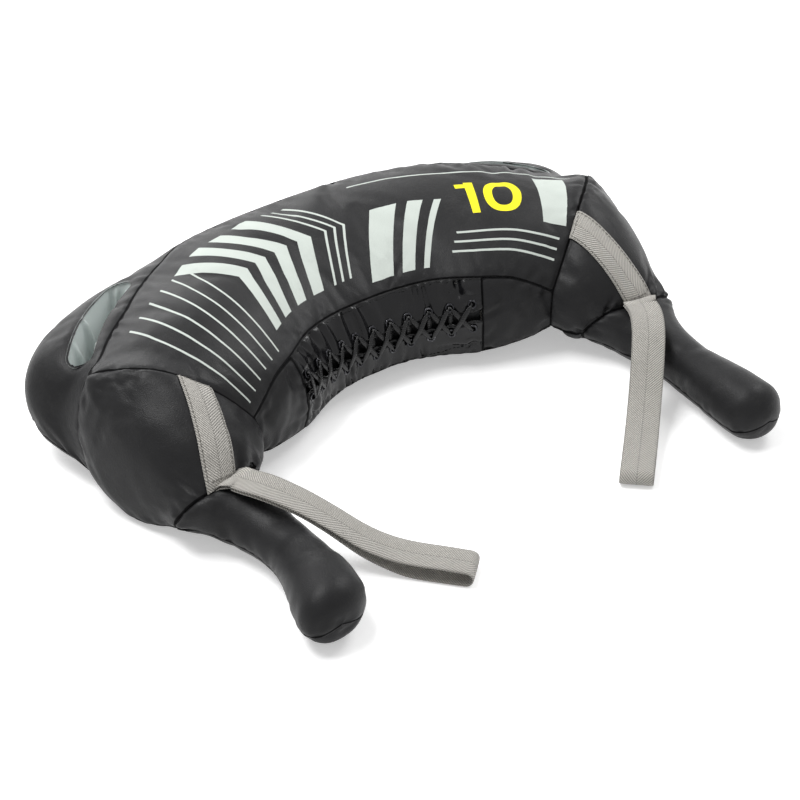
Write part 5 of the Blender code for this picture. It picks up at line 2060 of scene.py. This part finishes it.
    def tongue(self) -> None:
        """Cloth behind the lacing gap."""
        reach = FORM.placket_end - 0.004
        stations = np.linspace(-reach, reach, 120)
        heights = np.linspace(-self.tongue_width / 2, self.tongue_width / 2, 12)
        shares = np.stack([FORM.wall_shares(stations, height) for height in heights], axis=1)
        sheet = Sheet("lacing_backing", FORM.side(Side.INNER, stations, shares),
                      seams=Seams(0.0, 0.0, 0.0, 0.0))
        sheet.points = sheet.points - sheet.normals() * (self.tongue_depth + self.cloth / 2)
        sheet = puckered(sheet, self.pleats, self.tongue_crease, self.tongue_uneven, self.tongue_seed,
                         self.spine)
        piece = sheet.mesh()
        self.palette.dress(piece, "black_leather", "black_leather", "lacing_tongue")
        sheet.declare(piece, "laid")

    def eyelets(self) -> None:
        """Domed eyelets with a barrel, seated on the cloth of their flap."""
        bore, rim, rise = self.eyelet_bore / 2, self.eyelet_flange / 2, self.eyelet_rise
        turn = np.linspace(0, math.pi, 9)
        dome_r = (rim + bore) / 2 - np.cos(turn) * (rim - bore) / 2
        dome_z = np.sin(turn) ** 0.8 * rise
        radii = np.concatenate([[bore], dome_r, [rim - 0.0002, bore + 0.0004, bore + 0.0004]])
        levels = np.concatenate([[-self.eyelet_depth], dome_z, [-0.0002, -0.0002, -self.eyelet_depth]])
        angles = np.linspace(0, 2 * math.pi, self.eyelet_turns, endpoint=False)
        faces = grid_faces(len(angles), len(radii), closed_down=True)
        uv = np.stack(np.broadcast_arrays(angles[:, None] * rim, radii[None]), axis=-1)
        for row, word in ((1, "upper"), (-1, "lower")):
            for column in range(self.eyelet_count):
                point, outward = self.eyelet_spot(column, row)
                aside = unit(np.cross(np.array([0.0, 0.0, 1.0]), outward))
                up = np.cross(outward, aside)
                seat = max(seated_height(self.trees[row], point + rim * 0.8 * offset, outward)
                           for offset in (aside, -aside, up, -up, aside * 0))
                ring = (point + outward * (seat + 0.0002)
                        + radii[None, :, None] * (np.cos(angles)[:, None, None] * aside
                                                  + np.sin(angles)[:, None, None] * up)
                        + levels[None, :, None] * outward)
                number = f"{word}_{column + 1:02d}"
                piece = grid_object(f"eyelet_ring_{number}", ring, faces, uv)
                self.palette.dress(piece, "black_eyelet", "black_eyelet", f"eyelet_{number}")

    def lace_line(self) -> tuple[Array, Array]:
        """Points of the lace and directions out of the wall there.

        It runs from the right end to the left and back, so that two runs cross over each gap
        between columns, with an upright run at the left end.

        Returns:
            Points, and directions out of the wall.
        """
        places: list[tuple[float, float, float]] = []

        def leg(start: tuple, end: tuple, levels: tuple) -> None:
            """Add points from one eyelet to another, each with its place in the eyelet's bore.

            Args:
                start: column, row and place in the bore of the first eyelet.
                end: the same for the last one.
                levels: level over the wall of each point.
            """
            first, last = (np.array(self.eyelet_place(*stop[:2])) for stop in (start, end))
            first[0] += start[2] * self.lace_beside
            last[0] += end[2] * self.lace_beside
            for part, level in zip(np.linspace(0, 1, len(levels)), levels):
                places.append((*(first * (1 - part) + last * part), level))

        last = self.eyelet_count - 1
        for column in range(last, 0, -1):
            leg((column, -1, -1), (column - 1, 1, 1), self.under)
            leg((column - 1, 1, 1), (column - 1, -1, -1), self.behind)
        leg((0, -1, -1), (0, 1, -1), self.upright)
        for column in range(last):
            leg((column, 1, -1), (column, -1, 1), self.far_behind)
            leg((column, -1, 1), (column + 1, 1, -1), self.over)
        leg((last, 1, -1), (last, 0.6, -1), self.tail)
        stations, shares, levels = np.array(places).T
        point, outward = self.wall(stations, shares)
        return point + outward * (levels - self.cloth / 2)[:, None], outward

    def lace(self) -> None:
        """The flat lace as one unbroken cord."""
        line, outward = self.lace_line()
        count = len(line) * 7
        fine = self.smoothed(line, count)
        out = unit(self.smoothed(outward, count))
        along = unit(np.gradient(fine, axis=0))
        aside = np.cross(along, out)
        size = np.linalg.norm(aside, axis=-1)
        for index in range(1, count):
            if size[index] < 0.55:
                aside[index] = aside[index - 1]
            elif np.dot(aside[index], aside[index - 1]) < 0:
                aside[index] = -aside[index]
        for _ in range(4):
            aside[1:-1] = unit((aside[:-2] + 2 * aside[1:-1] + aside[2:]) / 4)
        holes = np.array([self.eyelet_spot(column, row)[0]
                          for column in range(self.eyelet_count) for row in (1, -1)])
        clear = smooth_step((nearest(fine, holes)[1] - 0.003) / 0.004)
        wide = self.lace_pinch + (self.lace_width - self.lace_pinch) * clear
        piece = grid_object("flat_lace", *tube(fine, aside, wide, self.lace_thickness, 10))
        self.palette.dress(piece, "black_lace", "black_lace", "lace")

    def smoothed(self, values: Array, count: int) -> Array:
        """Line of values with more points on smooth curves."""
        return resample(np.stack([values, values], axis=1), count, 2)[:, 0]


@dataclass
class HandSlots:
    """Satin tunnels through the bag inside the padded handles."""

    palette: Palette
    cover: Cover
    seed: int = 60
    steps: int = 150
    levels: int = 16
    pleat_share: float = 0.50
    pleats: int = 19
    lean: float = 0.0030
    edge: float = 0.0002
    flare: float = 0.0022
    turned_under: float = 0.0016

    def outline(self, hand: Hand) -> tuple[Array, Array]:
        """Outline of a slot in plan, and level directions out of its hole.

        Args:
            hand: side of the bag.

        Returns:
            Points of the outline, and directions.
        """
        line = FORM.slot_line(hand, 60)
        along = unit(np.gradient(line, axis=0))
        aside = np.stack([-along[:, 1], along[:, 0]], axis=-1)
        half = FORM.slot_width[hand.value] / 2
        turn = np.linspace(0, math.pi, 24)[1:-1, None]
        end = line[-1] + half * (aside[-1] * np.cos(turn) + along[-1] * np.sin(turn))
        start = line[0] - half * (aside[0] * np.cos(turn) + along[0] * np.sin(turn))
        ring = np.concatenate([line + aside * half, end, line[::-1] - aside[::-1] * half, start])
        closed = np.concatenate([ring, ring[:1]])
        length = run_length(closed)
        ring = at(np.linspace(0, length[-1], self.steps, endpoint=False), length, closed)
        return ring, unit(ring - line[nearest(ring, line)[0]])

    def build(self) -> None:
        """Make both tunnels."""
        for number, hand in enumerate(Hand):
            self.tunnel(hand, self.seed + number)

    def tunnel(self, hand: Hand, seed: int) -> None:
        """One tunnel, pleated, with its ends turned under the cover.

        Args:
            hand: side of the bag.
            seed: seed of its random draws.
        """
        rng = np.random.default_rng(seed)
        ring, out = self.outline(hand)
        high, low = (self.heights(ring, out, node, sign)
                     for node, sign in (("outer_side_panel", -1), ("bottom_panel", 1)))
        part = np.linspace(0, 1, self.levels)
        z = high[None] * (1 - part[:, None]) + low[None] * part[:, None]
        arc = np.arange(self.steps) / self.steps
        pleats = np.zeros((self.levels, self.steps))
        for _ in range(self.pleats):
            place, lean = rng.uniform(0, 1), rng.normal() * 0.05
            width = rng.uniform(0.005, 0.011)
            turn = (arc[None] - place - lean * part[:, None] + 0.5) % 1.0 - 0.5
            body = np.exp(-((part[:, None] - rng.uniform(0.2, 0.8)) / 0.5) ** 2)
            pleats += rng.uniform(0.4, 1.3) * np.exp(-(turn / width) ** 2) * body
        sink = -np.sin(np.pi * part)[:, None] * self.lean
        flare = self.flare * (np.exp(-part / 0.05) + np.exp(-(1 - part) / 0.05))[:, None]
        depth = self.pleat_share * FORM.slot_width[hand.value] / 2
        shift = self.edge + sink + flare - pleats * depth * smooth_step(part * 16 + 0.2)[:, None]
        plan = ring[None] + out[None] * shift[..., None]
        points = np.concatenate([plan, z[..., None]], axis=-1)
        points = np.concatenate([points, points[:, :1]], axis=1)
        sheet = Sheet(f"{hand.word}_satin_tunnel", points, flip=hand is Hand.LEFT)
        piece = sheet.mesh()
        self.palette.dress(piece, "satin_lining", "satin_lining", f"{hand.word}_slot_lining")
        sheet.declare(piece, "gathered")

    def heights(self, ring: Array, out: Array, node: str, sign: int) -> Array:
        """Height of the cover at the slot's edge, cast from above or below.

        Args:
            ring: outline of the slot in plan.
            out: level directions out of its hole.
            node: node of the panel that is met.
            sign: -1 to cast down on to the panel, 1 to cast up.

        Returns:
            One height for each point of the outline.
        """
        tree = self.cover.trees[node]
        found = np.zeros(len(ring))
        for index, point in enumerate(ring + out * 0.0006):
            start = Vector((*point, 0.3 if sign < 0 else -0.1))
            hit = tree.ray_cast(start, Vector((0, 0, sign)))[0]
            found[index] = hit.z if hit else 0.06
        smooth = np.stack([found, found], axis=1)
        smooth = blurred(np.concatenate([smooth[-6:], smooth, smooth[:6]]), 3)[6:-6, 0]
        return smooth + sign * self.turned_under


@dataclass
class Straps:
    """Webbing sewn down each yoke and the free loops below."""

    palette: Palette
    cover: Cover
    thread: Thread = Thread(stitch=0.0034, gap=0.0012, radius=0.0004)
    thickness: float = 0.0016
    rows: int = 60
    stitch_inset: float = 0.0028
    loop_length: dict = field(default_factory=lambda: {Hand.LEFT: 0.222, Hand.RIGHT: 0.209})
    loop_bend: dict = field(default_factory=lambda: {Hand.LEFT: 0.0, Hand.RIGHT: 0.004})
    root_shift: dict = field(default_factory=lambda: {Hand.LEFT: -0.0090, Hand.RIGHT: 0.0})

    def build(self) -> None:
        """Make both sewn lengths, their stitches and both loops."""
        for hand in Hand:
            self.sewn(hand)
            self.loop(hand)

    def sewn(self, hand: Hand) -> None:
        """Webbing stitched down a yoke, laid on the puckered cloth.

        Args:
            hand: side of the bag.
        """
        along, shares = np.linspace(0, 1, self.rows), np.linspace(0, 1, 121)
        place, step = FORM.webbing_place, FORM.step
        near = FORM.yoke(Side.TOP, np.array([place, place + step]), along)
        per_share = np.linalg.norm(near[:, 1] - near[:, 0], axis=-1) / step
        across = np.linspace(-0.5, 0.5, 9) * FORM.webbing_width
        wide = FORM.yoke(Side.TOP, shares, along)
        points = np.array([at(place + across / per_share[index], shares, wide[index])
                           for index in range(self.rows)])
        points[..., 0] *= hand.value
        outward = Sheet("trial", points, hand is Hand.LEFT).normals()
        tree = self.cover.trees[f"{hand.word}_yoke_upper"]
        height = np.array([[seated_height(tree, point, direction)
                            for point, direction in zip(*pair)] for pair in zip(points, outward)])
        peak = np.maximum.reduce([np.roll(height, shift, axis=axis)
                                  for shift in (-1, 0, 1) for axis in (0, 1)])
        peak[[0, -1]] = height[[0, -1]]
        level = blurred(peak[..., None], 3)[..., 0] + self.thickness / 2 + 0.0002
        points = points + outward * level[..., None]
        piece = self.sheet_strap(f"{hand.word}_sewn_strap", points, outward)
        self.palette.dress(piece, "grey_webbing", "grey_webbing", f"{hand.word}_sewn_webbing")
        self.stitches(hand, points, outward)

    def sheet_strap(self, name: str, points: Array, outward: Array) -> Object:
        """Strap over a grid of points, with rounded edges.

        Args:
            name: name of the object.
            points: grid of points on the middle of the webbing.
            outward: directions out of it at the points.

        Returns:
            The object.
        """
        thin = np.ones(points.shape[1])
        thin[[0, -1]] = 0.35
        rise = outward * (self.thickness / 2 * thin)[None, :, None]
        ring = np.concatenate([points + rise, (points - rise)[:, ::-1]], axis=1)
        rows, columns = ring.shape[:2]
        across = np.linspace(0, FORM.webbing_width, columns // 2)
        length = Sheet("trial", points).lengths(0)[:, points.shape[1] // 2]
        uv = np.stack(np.broadcast_arrays(length[:, None], np.concatenate([across, across[::-1]])[None]),
                      axis=-1)
        piece = grid_object(name, ring, grid_faces(rows, columns, closed_across=True), uv)
        rounded_once(piece)
        return piece

    def stitches(self, hand: Hand, points: Array, outward: Array) -> None:
        """Rows of thread beside both edges of a sewn webbing and across it near both ends.

        Args:
            hand: side of the bag.
            points: grid of points on the middle of the webbing.
            outward: directions out of it at the points.
        """
        top = points + outward * (self.thickness / 2)
        share = self.stitch_inset / FORM.webbing_width
        columns = points.shape[1] - 1
        lines = []
        for part in (share, 1 - share):
            low = int(part * columns)
            mix = part * columns - low
            line = top[:, low] * (1 - mix) + top[:, min(low + 1, columns)] * mix
            lines.append((line[1:-2], outward[1:-2, low]))
        lines += [(top[row, 1:-1], outward[row, 1:-1]) for row in (3, -4)]
        sewn = self.thread.sew(f"{hand.word}_strap_stitching", lines)
        self.palette.dress(sewn, "grey_thread", "grey_webbing")

    def loop_line(self, hand: Hand) -> tuple[Array, Array]:
        """Middle line of a loop with the direction across it, in the frame.

        Args:
            hand: side of the bag.

        Returns:
            Points of the line, and directions across it.
        """
        fold, size = FORM.loop_fold, self.loop_length[hand]
        height = FORM.loop_root[2]
        shares = np.linspace(0, fold, 70)
        top = follow(LOOP_TOP_SHARES[hand.value], shares)[:, 0] * height
        low = follow(LOOP_LOW_SHARES[hand.value], shares)[:, 0] * height
        radius = (top[-1] - low[-1]) / 2
        turn = np.linspace(0, math.pi, 18)[1:-1]
        distance = np.concatenate([shares * size, fold * size + np.sin(turn) * radius,
                                   shares[::-1] * size])
        rise = np.concatenate([top, low[-1] + radius + np.cos(turn) * radius, low[::-1]])
        tuck_in = np.array([0.016, 0.011, 0.006])
        drop = np.array([0.010, 0.0045, 0.0015])
        distance = np.concatenate([-tuck_in, distance, -tuck_in[::-1]])
        rise = np.concatenate([rise[0] - drop, rise, rise[-1] - drop[::-1] - 0.001])
        heading = np.array([math.cos(FORM.loop_bearing), math.sin(FORM.loop_bearing)])
        aside = np.array([heading[1], -heading[0]])
        fade = np.exp(-np.maximum(distance, 0) / FORM.loop_swerve_length)[:, None]
        start = np.array(FORM.loop_root[:2]) + np.array([self.root_shift[hand], 0.0])
        bend = self.loop_bend[hand] * (np.maximum(distance, 0) / size)[:, None] ** 2
        plan = start + heading * distance[:, None] + aside * (FORM.loop_swerve * fade + bend)
        way = unit(heading - aside * fade * FORM.loop_swerve / FORM.loop_swerve_length)
        line = np.concatenate([plan, rise[:, None]], axis=-1) + np.array(FORM.seat)
        across = np.stack([-way[:, 1], way[:, 0], np.zeros(len(way))], axis=-1)
        line[:, 0] *= hand.value
        across[:, 0] *= hand.value
        return line, across

    def loop(self, hand: Hand) -> None:
        """Free loop, folded back on itself.

        Args:
            hand: side of the bag.
        """
        line, across = self.loop_line(hand)
        if hand is Hand.LEFT:
            across = -across
        piece = strap(f"{hand.word}_free_loop", line, across, FORM.webbing_width, self.thickness)
        self.palette.dress(piece, "grey_webbing", "grey_webbing", f"{hand.word}_webbing_loop",
                           f"{hand.word}_loop")


@dataclass
class Fillings:
    """Wadding, weight bags and padding inside the cover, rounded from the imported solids."""

    palette: Palette
    cover: Cover
    weight_bags: int = 5
    search: float = 0.016
    clearance: float = 0.0045

    def build(self) -> None:
        """Make every filling."""
        self.rounded("wadding_sleeve", "pale_wadding")
        for number in range(self.weight_bags):
            self.rounded(f"weight_bag_{number + 1}", "canvas")
        for hand in Hand:
            for part in ("handle_core", "yoke_core"):
                self.rounded(f"{hand.word}_{part}", "pale_wadding")
            bend_grip(self.rounded(f"{hand.word}_grip_core", "pale_wadding", ""))

    def rounded(self, node: str, finish: str, body: str = "shell") -> Object:
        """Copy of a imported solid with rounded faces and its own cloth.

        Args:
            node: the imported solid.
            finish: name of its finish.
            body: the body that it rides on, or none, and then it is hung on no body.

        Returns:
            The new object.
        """
        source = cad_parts[node]
        mesh = source.data.copy()
        mesh.name = node + "_cloth"
        mesh.transform(source.matrix_world)
        piece = linked(node + "_cloth", mesh)
        self.wrap(mesh)
        rounded_once(piece)
        graph = bpy.context.evaluated_depsgraph_get()
        made = bpy.data.meshes.new_from_object(piece.evaluated_get(graph))
        piece.modifiers.clear()
        piece.data = made
        self.keep_under(made)
        self.palette.dress(piece, finish, finish, node, body)
        return piece

    def keep_under(self, mesh: bpy.types.Mesh) -> None:
        """Draw points of a filling in where the cover lies closer to the middle of the bag.

        Args:
            mesh: mesh of the filling.
        """
        points = np.array([vertex.co[:] for vertex in mesh.vertices])
        reach = self.search + self.clearance
        for vertex, point, way in zip(mesh.vertices, points, self.cover.spine.outward(points)):
            start = Vector(point - way * self.search)
            hits = [tree.ray_cast(start, Vector(way), reach)[3] for tree in self.cover.trees.values()]
            over = max((reach - hit for hit in hits if hit is not None), default=0.0)
            vertex.co = Vector(point - way * over)

    def wrap(self, mesh: bpy.types.Mesh) -> None:
        """Flat places on a copied solid, taken from the plane that each face lies nearest to.

        Args:
            mesh: mesh of the copied solid.
        """
        while mesh.uv_layers:
            mesh.uv_layers.remove(mesh.uv_layers[0])
        layer = mesh.uv_layers.new(name="cut")
        for face in mesh.polygons:
            face.use_smooth = True
            axis = max(range(3), key=lambda number: abs(face.normal[number]))
            kept = [number for number in range(3) if number != axis]
            for corner in face.loop_indices:
                point = mesh.vertices[mesh.loops[corner].vertex_index].co
                layer.data[corner].uv = (point[kept[0]], point[kept[1]])


# Studio

def shown(shader: Shader) -> Socket:
    """One for rays that show the surroundings, straight or in metal and glass.

    Args:
        shader: nodes of the material.

    Returns:
        Socket of the mask.
    """
    path = shader.node("ShaderNodeLightPath").outputs
    mirrored = shader.maths("MAXIMUM", path["Is Glossy Ray"], path["Is Transmission Ray"])
    return shader.maths("MAXIMUM", path["Is Camera Ray"], mirrored)


@dataclass(frozen=True)
class WhiteFloor(Finish):
    """Matt white with a glow that the camera sees."""

    name: str = "studio_floor"
    glow: float = 0.40

    def inputs(self, shader: Shader) -> dict[str, object]:
        """White, matt and glowing.

        Args:
            shader: nodes of the material.

        Returns:
            Values and sockets by input name.
        """
        return {"Base Color": (0.93, 0.93, 0.93, 1.0), "Roughness": 0.9, "Specular IOR Level": 0.1,
                "Emission Color": (1.0, 1.0, 1.0, 1.0),
                "Emission Strength": shader.maths("MULTIPLY", shown(shader), self.glow)}


@dataclass(frozen=True)
class Studio:
    """White floor, soft lights and the camera of the photograph."""

    azimuth: float = math.radians(-35.6)
    elevation: float = math.radians(37.5)
    distance: float = 2.3258
    target: tuple = (0.0056, 0.0100, 0.0)
    lens: float = 107.4
    sensor: float = 36.0
    world_strength: float = 0.37
    floor_reach: float = 6.0
    aim: tuple = (0.0, 0.0, 0.05)

    def build(self) -> None:
        """Make floor, lights, world and camera."""
        self.world()
        self.floor()
        self.lamp("key_softbox", (-0.9, 0.8, 2.7), (1.6, 1.3), 74.0)
        self.lamp("fill_softbox", (2.0, 0.3, 2.1), (1.3, 1.3), 36.0)
        self.lamp("rim_softbox", (0.2, 2.6, 0.9), (2.2, 0.8), 22.0)
        self.camera()
        bpy.context.scene.view_settings.view_transform = "Standard"

    def world(self) -> None:
        """Even pale surroundings that the camera sees as white."""
        world = bpy.data.worlds.new("studio")
        world.use_nodes = True
        bpy.context.scene.world = world
        shader = Shader(world.node_tree)
        strength = shader.fitted(shown(shader), 0.0, 1.0, self.world_strength, 1.0)
        shader.fill(world.node_tree.nodes["Background"],
                    {"Color": (1.0, 1.0, 1.0, 1.0), "Strength": strength})

    def floor(self) -> None:
        """Large white floor that keeps the shadow of the bag."""
        reach = self.floor_reach
        mesh = bpy.data.meshes.new("studio_floor")
        mesh.from_pydata([(-reach, -reach, 0), (reach, -reach, 0), (reach, reach, 0), (-reach, reach, 0)],
                         [], [(0, 1, 2, 3)])
        mesh.materials.append(WhiteFloor().build())
        linked("studio_floor", mesh)

    def lamp(self, name: str, place: tuple, size: tuple, power: float) -> None:
        """Soft rectangular light that faces the bag.

        Args:
            name: its name.
            place: where it hangs.
            size: its two sides.
            power: its power in watts.
        """
        light = bpy.data.lights.new(name, "AREA")
        light.shape = "RECTANGLE"
        light.size, light.size_y = size
        light.energy = power
        lamp = linked(name, light)
        lamp.location = place
        lamp.rotation_euler = (Vector(self.aim) - Vector(place)).to_track_quat("-Z", "Y").to_euler()

    def camera(self) -> None:
        """Camera at the photograph's place."""
        across = math.cos(self.elevation)
        back = Vector((math.sin(self.azimuth) * across, -math.cos(self.azimuth) * across,
                       math.sin(self.elevation)))
        data = bpy.data.cameras.new("photo_camera")
        data.lens, data.sensor_width = self.lens, self.sensor
        camera = linked("photo_camera", data)
        camera.location = Vector(self.target) + back * self.distance
        camera.rotation_euler = (-back).to_track_quat("-Z", "Y").to_euler()
        bpy.context.scene.camera = camera


def main() -> None:
    """Build the whole scene in order."""
    logging.basicConfig(level=logging.INFO, format="%(name)s: %(message)s")
    palette = Palette()
    spine = Spine()
    cover = Cover(palette, spine)
    cover.build()
    LacedOpening(palette, spine).build()
    HandSlots(palette, cover).build()
    Straps(palette, cover).build()
    Fillings(palette, cover).build()
    Studio().build()


if __name__ == "__main__":
    main()
